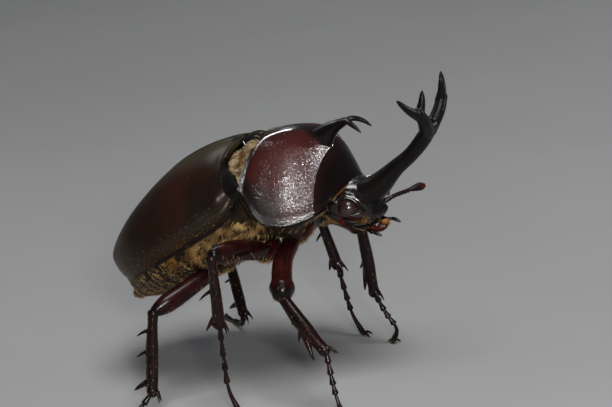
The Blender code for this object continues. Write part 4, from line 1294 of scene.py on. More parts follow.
@dataclass
class Mouth:
    """Jaws under the lip, with the two short palps."""

    jaw: Line = ((0.9, 1.1, 23.1), (2.0, 1.15, 23.2), (2.9, 0.6, 23.5))
    jaw_sizes: Rows = ((0.0, 0.8, 0.6), (0.6, 0.62, 0.5), (1.0, 0.3, 0.3))
    base: Line = ((-1.4, 0.0, 23.0), (0.4, 0.0, 22.9), (2.1, 0.0, 23.1))
    base_sizes: Rows = ((0.0, 1.5, 0.6), (0.5, 1.9, 0.7), (1.0, 1.2, 0.5))
    knob: Line = ((1.2, -1.6, 22.95), (2.3, -1.2, 22.85), (2.8, -1.05, 22.9), (3.4, -0.85, 23.05))
    knob_sizes: Rows = ((0.0, 0.3, 0.3), (0.35, 0.58, 0.52), (0.7, 0.66, 0.62), (1.0, 0.45, 0.42))
    palps: dict[Side, Line] = field(default_factory=lambda: {
        Side.RIGHT: ((0.6, -1.4, 22.7), (1.6, -1.95, 22.5), (2.4, -1.95, 22.3), (3.1, -1.9, 21.95)),
        Side.LEFT: ((1.4, 1.2, 22.8), (2.9, 2.2, 23.0), (4.0, 2.4, 22.5))})
    palp_sizes: Rows = ((0.0, 0.2), (0.8, 0.2), (1.0, 0.14))
    skins: dict[str, Piece] = field(default_factory=dict)

    def jointed(self, t: float, v: float) -> float:
        """Swelling of a palp's three joints, of which the last is the longest."""
        return 0.07 * abs(math.sin(math.pi * (1 - (1 - t) ** 1.3) * 3))

    def build(self) -> None:
        """Model and dress the mouth."""
        pieces = [tube("mouth_base", HEAD.line(self.base), self.base_sizes, rows=40, columns=30)]
        for side in Side:
            pieces.append(tube("jaw", HEAD.line(self.jaw, side), self.jaw_sizes, rows=30, columns=18))
        mouth = join("mouth_parts", pieces)
        melt(mouth, 0.09, 4)
        self.skins["mouth"] = hand_over(mouth, HEAD_SHELL, "mouth", "mouthparts")
        knob = tube("mouth_knob", HEAD.line(self.knob), self.knob_sizes, rows=40, columns=28)
        self.skins["knob"] = hand_over(knob, MOUTH, "mouth")
        for side, line in self.palps.items():
            palp = tube("palp_" + side.word + "_joints", HEAD.line(line), self.palp_sizes, rows=60, columns=14,
                        relief=self.jointed)
            hand_over(palp, FOOT, "mouth", "palp_" + side.word)


THIGHS: dict[Pair, Rows] = {
    Pair.FORE: ((0.0, 1.1, 1.2), (0.5, 1.4, 1.45), (0.8, 1.5, 1.6), (0.92, 1.8, 1.85), (1.0, 1.5, 1.6)),
    Pair.MID: ((0.0, 1.0, 1.2), (0.4, 1.25, 1.4), (0.75, 1.3, 1.55), (0.92, 1.1, 1.3), (1.0, 0.9, 1.0)),
    Pair.HIND: ((0.0, 1.0, 1.2), (0.4, 1.15, 1.3), (0.8, 1.2, 1.4), (0.93, 1.0, 1.15), (1.0, 0.8, 0.9)),
}
SHINS: dict[Pair, Rows] = {
    Pair.FORE: ((0.0, 0.95, 0.8), (0.12, 0.82, 0.76), (0.4, 0.96, 0.8), (0.6, 0.98, 0.8), (0.8, 0.8, 0.76),
                (1.0, 0.76, 0.72)),
    Pair.MID: ((0.0, 0.8, 0.75), (0.15, 0.62, 0.64), (0.4, 0.7, 0.7), (0.8, 0.82, 0.78), (1.0, 0.86, 0.78)),
    Pair.HIND: ((0.0, 0.8, 0.75), (0.15, 0.7, 0.68), (0.45, 0.86, 0.78), (0.8, 0.84, 0.8), (1.0, 0.68, 0.7)),
}
# Spines of a shin: share of its length, then how far the root and the tip stand out from
# its middle line, how far the tip lies on towards the foot, and the radius at the root
SHIN_SPINES: dict[Pair, Rows] = {
    Pair.FORE: ((0.38, 0.3, 1.25, 0.5, 0.4), (0.53, 0.3, 2.0, 1.4, 0.42), (0.62, 0.55, 1.9, 3.9, 0.62)),
    Pair.MID: ((0.45, 0.3, 2.6, 1.6, 0.34), (0.85, 0.3, 2.0, 2.25, 0.48)),
    Pair.HIND: ((0.21, 0.3, 2.35, 1.05, 0.36), (0.47, 0.3, 2.3, 1.05, 0.36), (0.85, 0.3, 2.6, 1.4, 0.62)),
}
SPINES_OUT: dict[Pair, Point] = {Pair.FORE: (-0.75, 0.3, -0.6), Pair.MID: (-1.0, 0.25, 0.0),
                                 Pair.HIND: (-1.0, 0.25, 0.0)}


@dataclass
class Leg:
    """One leg from hip to claws; lines are in drawing millimetres."""

    pair: Pair
    side: Side
    hip: Line
    thigh: Line
    shin: Line
    foot: Line
    claws: Point
    hip_sizes: Rows = ((0.0, 1.5, 1.4), (0.5, 1.65, 1.5), (1.0, 1.25, 1.2))
    joint_ends: Sequence[float] = (0.0, 0.18, 0.35, 0.5, 0.64, 1.0)
    joint_shape: Rows = ((0.0, 0.25), (0.12, 0.27), (0.5, 0.36), (0.85, 0.47), (0.97, 0.38))
    thigh_keels: Rows = ((0.08, 0.75, 0.05), (0.05, 0.25, 0.05))
    shin_ridges: Rows = ((1.0, 0.0, 0.05), (1.0, 1.0, 0.05), (0.8, 0.2, 0.04), (0.8, 0.8, 0.04), (0.6, 0.5, 0.05))
    spine_shape: Rows = ((0.0, 1.0), (0.5, 0.62), (0.85, 0.34), (1.0, 0.1))
    claw_sizes: Rows = ((0.0, 0.24), (0.4, 0.19), (0.8, 0.1), (1.0, 0.03))
    pad_sizes: Rows = ((0.0, 0.1), (1.0, 0.06))
    skins: dict[str, Piece] = field(default_factory=dict)

    def node(self, piece: str) -> str:
        """Name of the node of one of the leg's pieces."""
        return f"{self.pair.value}_{piece}_{self.side.word}"

    def axes(self) -> tuple[Vector, Vector, Vector]:
        """Directions of the shin: along it, out to its spines, and across its flat side."""
        heading = (Vector(self.shin[-1]) - Vector(self.shin[0])).normalized()
        back, aside, rise = SPINES_OUT[self.pair]
        outward = Vector((back, aside * self.side.value, rise))
        outward = (outward - heading * outward.dot(heading)).normalized()
        return heading, outward, outward.cross(heading)

    def spine(self, root: Vector, tip: Vector, radius: float, bend: Vector) -> Piece:
        """Pointed spine from a root to a tip, with a radius at the root and a slight bend."""
        sizes = tuple((t, radius * share) for t, share in self.spine_shape)
        return tube("spine", (root, (root + tip) / 2 + bend, tip), sizes, rows=24, columns=12)

    def build_hip(self) -> None:
        """Model and dress the hip, half sunk in the body."""
        middle = (Vector(self.hip[0]) + Vector(self.hip[1])) / 2
        hip = tube(self.node("hip"), (self.hip[0], middle, self.hip[1]), self.hip_sizes, rows=36, columns=30)
        self.skins["hip"] = hand_over(hip, LEG, "leg", self.node("coxa"))

    def build_thigh(self) -> None:
        """Model and dress the thigh, with a keel along its lower edge and a lip at the knee."""

        def relief(t: float, v: float) -> float:
            """Keels along the thigh, and the collar of the knee."""
            return ridges(self.thigh_keels, v) * math.sin(math.pi * t) - 0.12 * hump(t, 0.04, 0.05)

        thigh = tube(self.node("thigh"), self.thigh, THIGHS[self.pair], rows=90, columns=44, relief=relief)
        dark_from, ground = (0.86, 0.0) if self.pair is Pair.FORE else (0.80, 0.35)
        paint(thigh, rim=lambda u, v: max(ease(dark_from, 1.0, u), ease(0.12, 0.02, u), ground))
        self.skins["thigh"] = hand_over(thigh, LEG, "leg", self.node("femur"))

    def build_shin(self) -> None:
        """Model and dress the shin with its spines and the spurs at its end."""
        heading, outward, flat = self.axes()

        def relief(t: float, v: float) -> float:
            """Ridges along the shin, and the swelling at its foot."""
            return 0.07 * ridges(self.shin_ridges, v) * ease(0.05, 0.25, t) + 0.12 * hump(t, 0.97, 0.03)

        pieces = [tube(self.node("shin"), self.shin, SHINS[self.pair], rows=80, columns=44, upright=flat,
                       relief=relief)]
        path = smooth_line(self.shin)
        for share, root_out, tip_out, tip_along, radius in SHIN_SPINES[self.pair]:
            tip = path(share) + outward * tip_out + heading * tip_along
            pieces.append(self.spine(path(share) + outward * root_out, tip, radius, -heading * 0.15))
        foot = Vector(self.shin[-1])
        for turn in (-1.0, 1.0):
            root = foot - outward * 0.7 + flat * turn * 0.25 - heading * 0.3
            tip = foot - outward * 1.15 + flat * turn * 0.62 + heading * 1.35
            pieces.append(self.spine(root, tip, 0.26, -outward * 0.08))
        shin = join(self.node("shin"), pieces)
        melt(shin, 0.085, 4)
        self.skins["shin"] = hand_over(shin, SHIN, "leg", self.node("tibia"))

    def build_foot(self) -> None:
        """Model and dress the foot: five joints like beads, two hooked claws and the pad between them."""
        sizes = []
        for start, end in zip(self.joint_ends, self.joint_ends[1:]):
            slim = 0.92 if end == 1.0 else 1.0
            sizes += [(start + (end - start) * share, radius * slim) for share, radius in self.joint_shape]
        pieces = [tube(self.node("foot"), self.foot, tuple(sizes), rows=150, columns=16)]
        end = Vector(self.foot[-1])
        way = Vector(self.claws).normalized()
        apart = way.cross(UP).normalized()
        for turn in (-1.0, 1.0):
            line = (end - way * 0.15, end + way * 0.45 + apart * turn * 0.42 + UP * 0.3,
                    end + way * 1.0 + apart * turn * 0.82 + UP * 0.12,
                    end + way * 1.3 + apart * turn * 0.92 - UP * (end.z - 0.04))
            pieces.append(tube("claw", line, self.claw_sizes, rows=30, columns=12))
        pieces.append(tube("pad", (end, end + way * 0.35 - UP * 0.05, end + way * 0.6 - UP * 0.12), self.pad_sizes,
                           rows=12, columns=10))
        foot = join(self.node("foot"), pieces)
        for vertex in foot.data.vertices:
            vertex.co.z = max(vertex.co.z, 0.0)
        self.skins["foot"] = hand_over(foot, FOOT, "leg", self.node("tarsus"))

    def build(self) -> None:
        """Model and dress the whole leg."""
        self.build_hip()
        self.build_thigh()
        self.build_shin()
        self.build_foot()


def six_legs() -> list[Leg]:
    """The six legs, in the photographed stance."""
    right, left = Side.RIGHT, Side.LEFT
    return [
        Leg(Pair.FORE, right, hip=((-8.2, -2.6, 23.6), (-9.6, -5.4, 22.0)),
            thigh=((-9.2, -5.0, 22.2), (-9.2, -9.0, 20.2), (-7.8, -13.2, 17.0)),
            shin=((-7.9, -13.4, 16.8), (-4.8, -14.4, 13.0), (-1.4, -15.0, 9.2)),
            foot=((-1.3, -15.0, 9.3), (-0.7, -15.5, 5.2), (0.1, -16.0, 2.0), (1.2, -16.6, 0.35)),
            claws=(0.9, -0.5, -0.3)),
        Leg(Pair.FORE, left, hip=((-8.2, 2.6, 23.6), (-8.6, 5.4, 22.6)),
            thigh=((-8.4, 5.0, 22.8), (-7.9, 8.6, 21.4), (-6.9, 12.1, 19.4)),
            shin=((-6.9, 12.2, 19.2), (-6.6, 12.6, 13.6), (-6.4, 13.0, 8.2)),
            foot=((-6.4, 13.0, 8.3), (-5.2, 13.6, 5.0), (-4.0, 14.0, 2.4), (-4.9, 14.2, 0.35)),
            claws=(-0.2, 0.9, -0.3)),
        Leg(Pair.MID, right, hip=((-13.4, -3.6, 20.8), (-13.2, -6.6, 20.4)),
            thigh=((-13.1, -6.0, 20.6), (-14.2, -11.0, 22.4), (-15.8, -16.6, 23.4)),
            shin=((-16.0, -17.0, 23.0), (-15.9, -17.2, 18.2), (-16.2, -17.0, 13.4)),
            foot=((-16.1, -17.0, 13.6), (-16.1, -17.2, 8.6), (-15.9, -17.3, 4.0), (-14.6, -17.2, 0.35)),
            claws=(0.9, -0.2, -0.3)),
        Leg(Pair.MID, left, hip=((-13.4, 3.6, 20.8), (-13.2, 6.6, 20.4)),
            thigh=((-13.1, 6.0, 20.6), (-14.2, 10.4, 21.8), (-15.4, 15.0, 21.8)),
            shin=((-15.4, 15.3, 21.4), (-14.4, 15.8, 16.2), (-13.4, 16.2, 11.4)),
            foot=((-13.4, 16.2, 11.6), (-12.9, 16.6, 7.2), (-12.3, 17.0, 3.4), (-11.1, 17.4, 0.35)),
            claws=(0.9, 0.2, -0.3)),
        Leg(Pair.HIND, right, hip=((-20.4, -4.0, 18.9), (-21.3, -7.6, 18.7)),
            thigh=((-21.2, -7.2, 18.4), (-23.6, -11.4, 16.7), (-26.6, -15.8, 14.9)),
            shin=((-26.9, -16.2, 14.7), (-27.4, -17.2, 9.2), (-27.7, -18.2, 3.4)),
            foot=((-27.7, -18.2, 3.6), (-29.6, -19.8, 1.4), (-32.6, -22.0, 0.6), (-36.4, -24.4, 0.35)),
            claws=(-0.85, -0.5, -0.2)),
        Leg(Pair.HIND, left, hip=((-20.4, 4.0, 18.9), (-21.3, 7.6, 18.7)),
            thigh=((-21.4, 7.0, 18.4), (-25.6, 10.2, 17.1), (-29.8, 13.0, 15.0)),
            shin=((-30.1, 13.3, 14.6), (-30.4, 15.0, 9.0), (-30.6, 16.6, 3.4)),
            foot=((-30.6, 16.6, 3.6), (-31.8, 18.2, 1.4), (-34.4, 20.8, 0.6), (-37.6, 23.6, 0.35)),
            claws=(-0.85, 0.5, -0.2)),
    ]


def read(items: Items, name: str, width: int, kind: type = float) -> Array:
    """Read one property of all of a mesh's items.

    Args:
        items: The items, such as its points.
        name: The property.
        width: Numbers in each.
        kind: What they are.

    Returns:
        The numbers, a row for each item.
    """
    values = np.empty(len(items) * width, dtype=kind)
    items.foreach_get(name, values)
    return values.reshape(-1, width)


def skin_points(mesh: bpy.types.Mesh) -> tuple[Array, Array]:
    """Places of a finished mesh's points in drawing millimetres, and the normals there."""
    normals = np.array([vertex.vector for vertex in mesh.vertex_normals])
    return read(mesh.vertices, "co", 3) / MM - np.array(SHIFT), normals


@dataclass(frozen=True)
class Growth:
    """Where tufts grow on one skin, and how they lie.

    cover and tone take the places in drawing millimetres and the skin's unit normals, both as rows of three.
    ground is how far the skin takes the coat's colour where the cover is full.
    """

    skin: Piece
    count: int
    cover: Cover
    flow: Point
    length: tuple[float, float]
    width: float
    lift: float
    droop: float = 0.1
    stray: float = 0.3
    ground: float = 0.0
    tone: Cover | None = None


def unit(rows: Array) -> Array:
    """Rows of three, each brought to length 1."""
    return rows / np.maximum(np.linalg.norm(rows, axis=1, keepdims=True), 1e-9)


def soft_noise(places: Array, period: float, seed: int) -> Array:
    """Make smooth random values from a few crossing waves.

    Args:
        places: Places, as rows of three.
        period: Rough width of a clump, in millimetres.
        seed: Start of the random draws.

    Returns:
        A value from 0 to 1 for each place.
    """
    rng = np.random.default_rng(seed)
    total, waves = np.zeros(len(places)), 6
    for _ in range(waves):
        way = unit(rng.normal(size=(1, 3)))[0]
        total += np.sin(places @ way * math.tau / period * rng.uniform(0.7, 1.4) + rng.uniform(0, math.tau))
    return np.clip(0.5 + total / waves, 0.0, 1.0)


def span(values: Array, low: float, high: float) -> Array:
    """Smooth step from 0 at low to 1 at high, over an array."""
    share = np.clip((values - low) / (high - low), 0.0, 1.0)
    return share * share * (3.0 - 2.0 * share)


def on_hind_axis(places: Array) -> tuple[Array, Array, Array]:
    """Read places by the hind body's axis.

    Args:
        places: Drawing places, as rows of three.

    Returns:
        How far they lie along it, across it and over it.
    """
    local = places - np.array(HIND.base)
    cos, sin = math.cos(HIND.pitch), math.sin(HIND.pitch)
    return local[:, 0] * cos + local[:, 2] * sin, local[:, 1], local[:, 2] * cos - local[:, 0] * sin


class Coat:
    """Hair as solid mesh: thin tapered tufts, rooted in the skins and lying along them."""

    patch = 0.003
    sunk = 0.12
    rises = (1.6, 0.4)
    taper = 0.7
    lowest = (0.1, 0.02)
    tone_spread = 0.16
    clump_mm = 2.5
    ring = np.array([[1.0, 0.0], [-0.5, 0.866], [-0.5, -0.866]])
    # Faces of a tuft, by its points: its foot, three long sides, and three that close it to a point
    quads = np.array([[0, 1, 4, 3], [1, 2, 5, 4], [2, 0, 3, 5]])
    points = np.array([[2, 1, 0], [3, 4, 6], [4, 5, 6], [5, 3, 6]])

    def __init__(self, name: str, finish: HairFinish, slot: str) -> None:
        """Start a coat piece.

        Args:
            name: Name of the piece.
            finish: The hair's finish.
            slot: A material slot's name, passed on to hand_over, which does not use it.
        """
        self.name, self.finish, self.slot = name, finish, slot
        self.rng = np.random.default_rng(SEED + sum(map(ord, name)))

    def sample(self, growth: Growth) -> tuple[Array, Array, Array]:
        """Pick the roots on a skin.

        Args:
            growth: Where the tufts grow.

        Returns:
            The roots, and the normal and the place on the skin's unwrap at each.
        """
        mesh = growth.skin.data
        mesh.calc_loop_triangles()
        corners, loops = (read(mesh.loop_triangles, name, 3, np.int64) for name in ("vertices", "loops"))
        places, normals = skin_points(mesh)
        tri, tri_normals = places[corners], normals[corners]
        area = np.linalg.norm(np.cross(tri[:, 1] - tri[:, 0], tri[:, 2] - tri[:, 0]), axis=1)
        weight = area * growth.cover(tri.mean(axis=1), unit(tri_normals.mean(axis=1)))
        chosen = self.rng.choice(len(tri), size=growth.count, p=weight / weight.sum())
        a, b = self.rng.random((2, growth.count))
        fold = a + b > 1
        a, b = np.where(fold, 1 - a, a), np.where(fold, 1 - b, b)
        shares = np.stack([1 - a - b, a, b], axis=1)[:, :, None]
        roots = (tri[chosen] * shares).sum(axis=1)
        if mesh.uv_layers:
            unwrap = (read(mesh.uv_layers.active.data, "uv", 2)[loops][chosen] * shares).sum(axis=1)
        else:
            spoke = unit(roots - places.mean(axis=0))
            unwrap = np.stack([np.arctan2(spoke[:, 1], spoke[:, 0]) / math.tau + 0.5,
                               np.arcsin(np.clip(spoke[:, 2], -1, 1)) / math.pi + 0.5], axis=1)
        return roots, unit((tri_normals[chosen] * shares).sum(axis=1)), unwrap

    def tufts(self, growth: Growth) -> tuple[Array, Array, Array]:
        """Shape the tufts of one skin.

        Args:
            growth: Where they grow and how they lie.

        Returns:
            Their points, tones and places on the skin's unwrap.
        """
        roots, normals, unwrap = self.sample(growth)
        n = growth.count
        flow = np.array(growth.flow) + self.rng.normal(scale=growth.stray, size=(n, 3))
        lie = unit(flow - normals * (flow * normals).sum(axis=1, keepdims=True))
        lift = growth.lift * self.rng.uniform(0.5, 1.5, size=(n, 1))
        first = unit(lie + normals * lift * self.rises[0])
        second = unit(lie + normals * lift * self.rises[1] - np.array(UP) * growth.droop)
        length = self.rng.uniform(*growth.length, size=(n, 1))
        foot = roots - normals * self.sunk
        foot[:, 2] = np.maximum(foot[:, 2], self.lowest[0])
        middle = foot + first * (length * 0.5 + self.sunk)
        aside = unit(np.cross(first, normals))
        above = np.cross(aside, first)
        width = growth.width * self.rng.uniform(0.7, 1.2, size=(n, 1))
        points = np.empty((n, 7, 3))
        for k, (x, y) in enumerate(self.ring):
            offset = aside * x * width + above * y * width
            points[:, k] = foot + offset
            points[:, 3 + k] = middle + offset * self.taper
        points[:, 6] = middle + second * length * 0.5
        points[:, :, 2] = np.maximum(points[:, :, 2], self.lowest[1])
        tone = growth.tone(roots, normals) if growth.tone else soft_noise(roots, self.clump_mm, SEED)
        tone = np.clip(tone + self.rng.normal(scale=self.tone_spread, size=n), 0.0, 1.0)
        return points, tone, unwrap

    @staticmethod
    def mark(growth: Growth) -> None:
        """Give the skin the coat's colour where tufts grow on it, so that no bare shell shows between them.

        Args:
            growth: Where they grow.
        """
        mesh = growth.skin.data
        cover = growth.cover(*skin_points(mesh)).astype(float)
        layer = mesh.attributes.get("glow") or mesh.attributes.new("glow", "FLOAT", "POINT")
        before = read(layer.data, "value", 1)[:, 0]
        layer.data.foreach_set("value", np.maximum(before, growth.ground * cover / max(cover.max(), 1e-6)))

    def grow(self, growths: Sequence[Growth]) -> Piece:
        """Model and dress the coat piece.

        Args:
            growths: Where it grows; each skin takes its own tile of the unwrap.

        Returns:
            The piece.
        """
        tiles = math.ceil(math.sqrt(len(growths)))
        points, tones, places = [], [], []
        for k, growth in enumerate(growths):
            made, tone, unwrap = self.tufts(growth)
            if growth.ground:
                self.mark(growth)
            points.append(made)
            tones.append(tone)
            places.append((np.clip(unwrap, 0.01, 0.99) + np.array([k % tiles, k // tiles])) / tiles)
        points, tones, places = map(np.concatenate, (points, tones, places))
        n = len(points)
        base = (np.arange(n) * 7)[:, None, None]
        faces = (self.quads + base).reshape(-1, 4).tolist() + (self.points + base).reshape(-1, 3).tolist()
        mesh = bpy.data.meshes.new(self.name)
        mesh.from_pydata(points.reshape(-1, 3), [], faces)
        piece = bpy.data.objects.new(self.name, mesh)
        bpy.context.scene.collection.objects.link(piece)
        layer = mesh.attributes.new("tone", "FLOAT", "POINT")
        layer.data.foreach_set("value", np.repeat(tones, 7))
        self.unwrap(mesh, places)
        return hand_over(piece, self.finish, self.slot, crease=180.0)

    def unwrap(self, mesh: bpy.types.Mesh, places: Array) -> None:
        """Lay each tuft as a small patch at its root's place: its foot low, its tip high.

        Args:
            mesh: The tufts' mesh.
            places: The roots' places on the unwrap, from 0 to 1.
        """
        n = len(places)
        quads = np.array([[[0, 0], [1, 0], [1, 1], [0, 1]], [[1, 0], [2, 0], [2, 1], [1, 1]],
                          [[2, 0], [3, 0], [3, 1], [2, 1]]]) / np.array([3.0, 2.0])
        points = np.array([[[0.6, 0.1], [0.5, 0.0], [0.4, 0.1]], [[0, 1], [1, 1], [0.5, 2]],
                           [[1, 1], [2, 1], [1.5, 2]], [[2, 1], [3, 1], [2.5, 2]]]) / np.array([3.0, 2.0])
        corner = (places - self.patch / 2)[:, None, None, :]
        uv = np.concatenate([(corner + quads * self.patch).reshape(-1, 2),
                             (corner + points * self.patch).reshape(-1, 2)])
        assert len(uv) == n * 24 == len(mesh.loops)
        mesh.uv_layers.new(name="OFBake").data.foreach_set("uv", uv.ravel())


def grow_hair(shield: Piece, cases: dict[Side, Piece], trunk: Trunk, head: Head,
              mouth: Mouth, legs: Sequence[Leg]) -> None:
    """Grow the coats on the finished skins.

    Args:
        shield: The front shield; not used.
        cases: The wing cases.
        trunk: The trunk.
        head: The head.
        mouth: The mouth.
        legs: The six legs.
    """
    def near(*centres: Vector, reach: float) -> Cover:
        """Cover within a reach of some places."""
        def cover(places: Array, normals: Array) -> Array:
            """How near each place is to one of the centres."""
            gaps = np.min([np.linalg.norm(places - np.array(centre), axis=1) for centre in centres], axis=0)
            return np.exp(-(gaps / reach) ** 2)
        return cover

    def wedge(places: Array, normals: Array) -> Array:
        """Band between the shield and the wing cases, over the back and half way down both sides."""
        ragged = 1.4 * soft_noise(places, 2.0, 5)
        return span(places[:, 2] + ragged, 31.2, 32.8) * span(np.abs(places[:, 1]), 3.0, 4.2) + 0.002

    def wedge_tone(places: Array, normals: Array) -> Array:
        """Pale straw with dark spots, more of them half way down."""
        middle = np.exp(-((places[:, 2] - 34.6) / 1.2) ** 2)
        spots = span(soft_noise(places, 1.3, 3) + 0.14 * middle, 0.58, 0.72)
        return 0.95 - 0.9 * spots

    def flanks(places: Array, normals: Array) -> Array:
        """Clumps in a fringe under the wing cases' edges, few on the belly."""
        _, across, over = on_hind_axis(places)
        clumps = span(soft_noise(places, 1.5, 8), 0.45, 0.62)
        bare = span(places[:, 0], -16.8, -15.6) * span(places[:, 2], 25.6, 26.5)
        fringe = (0.10 + span(over, -5.0, -2.5)) * (1 - span(over, 1.0, 2.0)) * (1 - bare)
        return np.where(np.abs(across) > 3.0, 1.0, 0.3) * fringe * (0.06 + clumps)

    def belly(places: Array, normals: Array) -> Array:
        """Specks in rows across each ring of the belly."""
        along, _, over = on_hind_axis(places)
        rows = 0.2 + 0.8 * (np.sin(along * math.tau / 1.3) > 0.2)
        clumps = span(soft_noise(places, 1.1, 9), 0.45, 0.65)
        return rows * (0.2 + span(over, -5.0, -1.5)) * (1 - span(over, 0.5, 1.5)) * (0.03 + clumps)

    def chest(places: Array, normals: Array) -> Array:
        """Sparse clumps on the sides of the front body, more along the shield's front margin."""
        clumps = span(soft_noise(places, 1.6, 12), 0.5, 0.7)
        front = span(places[:, 0], -5.5, -3.5)
        return (0.05 + clumps) * (0.2 + span(places[:, 2], 23.8, 25.2)) + 0.3 * front

    def under(places: Array, normals: Array) -> Array:
        """All but the top of a skin."""
        return 0.05 + span(-normals[:, 2], -0.2, 0.5)

    def everywhere(places: Array, normals: Array) -> Array:
        """The same all over."""
        return np.ones(len(places))

    def case_edge(places: Array, normals: Array) -> Array:
        """Lower edge of a wing case."""
        _, _, over = on_hind_axis(places)
        return (over < 2.6) * (normals[:, 2] > -0.4) + 0.02

    skins, hairy = trunk.skins, "hairy_underside"
    Coat("hair_wedge", STRAW_HAIR, hairy).grow([
        Growth(skins["waist"], 17000, wedge, (-1.0, 0.0, -0.5), (0.5, 1.1), 0.045, 0.45, ground=0.9,
               tone=wedge_tone)])
    streaks = [Vector((-14.4, side.value * y, z)) for side in Side
               for y, z in ((6.2, 34.9), (6.7, 34.4), (7.2, 33.9))]
    Coat("hair_wedge_streak", ORANGE_HAIR, hairy).grow([
        Growth(skins["waist"], 500, near(*streaks, reach=0.38), (-1.0, 0.0, -0.5), (0.6, 1.1), 0.045, 0.55)])
    Coat("hair_flanks", GOLD_HAIR, hairy).grow([
        Growth(skins["rear_chest"], 9000, flanks, (-0.7, 0.0, -1.0), (0.6, 1.3), 0.042, 0.4, ground=0.6),
        Growth(skins["waist"], 700, flanks, (-0.7, 0.0, -1.0), (0.4, 0.8), 0.04, 0.4)])
    Coat("hair_belly", GOLD_HAIR, hairy).grow([
        Growth(skins["belly"], 6500, belly, (-1.0, 0.0, -0.5), (0.3, 0.7), 0.035, 0.25, ground=0.5)])
    Coat("hair_chest", GOLD_HAIR, hairy).grow([
        Growth(skins["front_chest"], 1300, chest, (-0.6, 0.0, -1.0), (0.4, 0.8), 0.035, 0.35)])
    puffs = [Vector((x, side.value * y, z)) for side in Side
             for x, y, z in ((-22.5, 10.9, 21.6), (-25.6, 10.3, 20.3))]
    Coat("hair_puffs", ORANGE_HAIR, hairy).grow([
        Growth(skins[name], count, near(*puffs, reach=0.8), (-0.5, 0.0, -0.6), (0.5, 0.9), 0.04, 0.9)
        for name, count in (("rear_chest", 380), ("belly", 420))])
    Coat("hair_tail", GOLD_HAIR, "shell").grow([
        Growth(skins["tail_plate"], 420, under, (-1.0, 0.0, -0.8), (0.35, 0.7), 0.035, 0.4)])
    Coat("hair_collar", ORANGE_HAIR, hairy).grow([
        Growth(skins["neck"], 1200, everywhere, (1.0, 0.0, -0.2), (0.2, 0.45), 0.03, 0.4),
        Growth(skins["collar"], 500, everywhere, (0.3, 0.0, -1.0), (0.1, 0.2), 0.02, 0.4)])
    cheeks, throats = ([HEAD.place(point, side) for side in Side] for point in ((1.6, 3.0, 24.7), (-3.8, 2.9, 24.0)))
    lip = HEAD.place((3.3, -0.5, 23.7))
    Coat("hair_mouth", ORANGE_HAIR, "mouth").grow([
        Growth(head.skins["head"], 60, near(*cheeks, reach=0.5), (0.6, 0.0, -0.8), (0.25, 0.5), 0.025, 0.8),
        Growth(head.skins["head"], 500, near(*throats, reach=0.9), (0.0, 0.0, -1.0), (0.3, 0.7), 0.035, 0.5),
        Growth(mouth.skins["mouth"], 200, everywhere, (1.0, 0.0, -0.4), (0.25, 0.5), 0.03, 0.5),
        Growth(mouth.skins["knob"], 200, near(lip, reach=0.45), (0.6, 0.3, 0.9), (0.4, 0.95), 0.045, 1.0)])
    Coat("hair_cases", GOLD_HAIR, "wing_case").grow([
        Growth(case, 900, case_edge, (-1.0, 0.0, -0.6), (0.15, 0.35), 0.02, 0.5) for case in cases.values()])
    Coat("hair_legs", GOLD_HAIR, "leg").grow([
        growth for leg in legs for growth in (
            Growth(leg.skins["hip"], 350, under, (-0.4, leg.side.value, -1.0), (0.4, 0.9), 0.035, 0.5),
            Growth(leg.skins["thigh"], 110, under, (-0.3, leg.side.value, -0.8), (0.4, 0.9), 0.024, 0.6),
            Growth(leg.skins["shin"], 60, everywhere, (0.0, 0.0, -1.0), (0.4, 0.7), 0.022, 0.5),
            Growth(leg.skins["foot"], 60, everywhere, (0.3, 0.0, -1.0), (0.25, 0.5), 0.02, 0.6))])


FRONT = ("shield",)
HEAD_PIECES = ("head_shell", "eye_frame_right")
CASES = ("wing_case_right", "wing_case_left")
HORNS = ("shield_horn", "head_horn")
THIGH_PIECES = ("mid_thigh_right", "hind_thigh_right")


@dataclass(frozen=True)
class Lamp:
    """A soft light, by where it stands from the beetle; angles are in degrees, lengths in metres.

    It shows only in the gloss, unless it is lighting, and one with pieces lights those alone.
    """

    name: str
    azimuth: float
    elevation: float
    distance: float
    size: tuple[float, float]
    watts: float
    pieces: Sequence[str] = ()
    lighting: bool = False


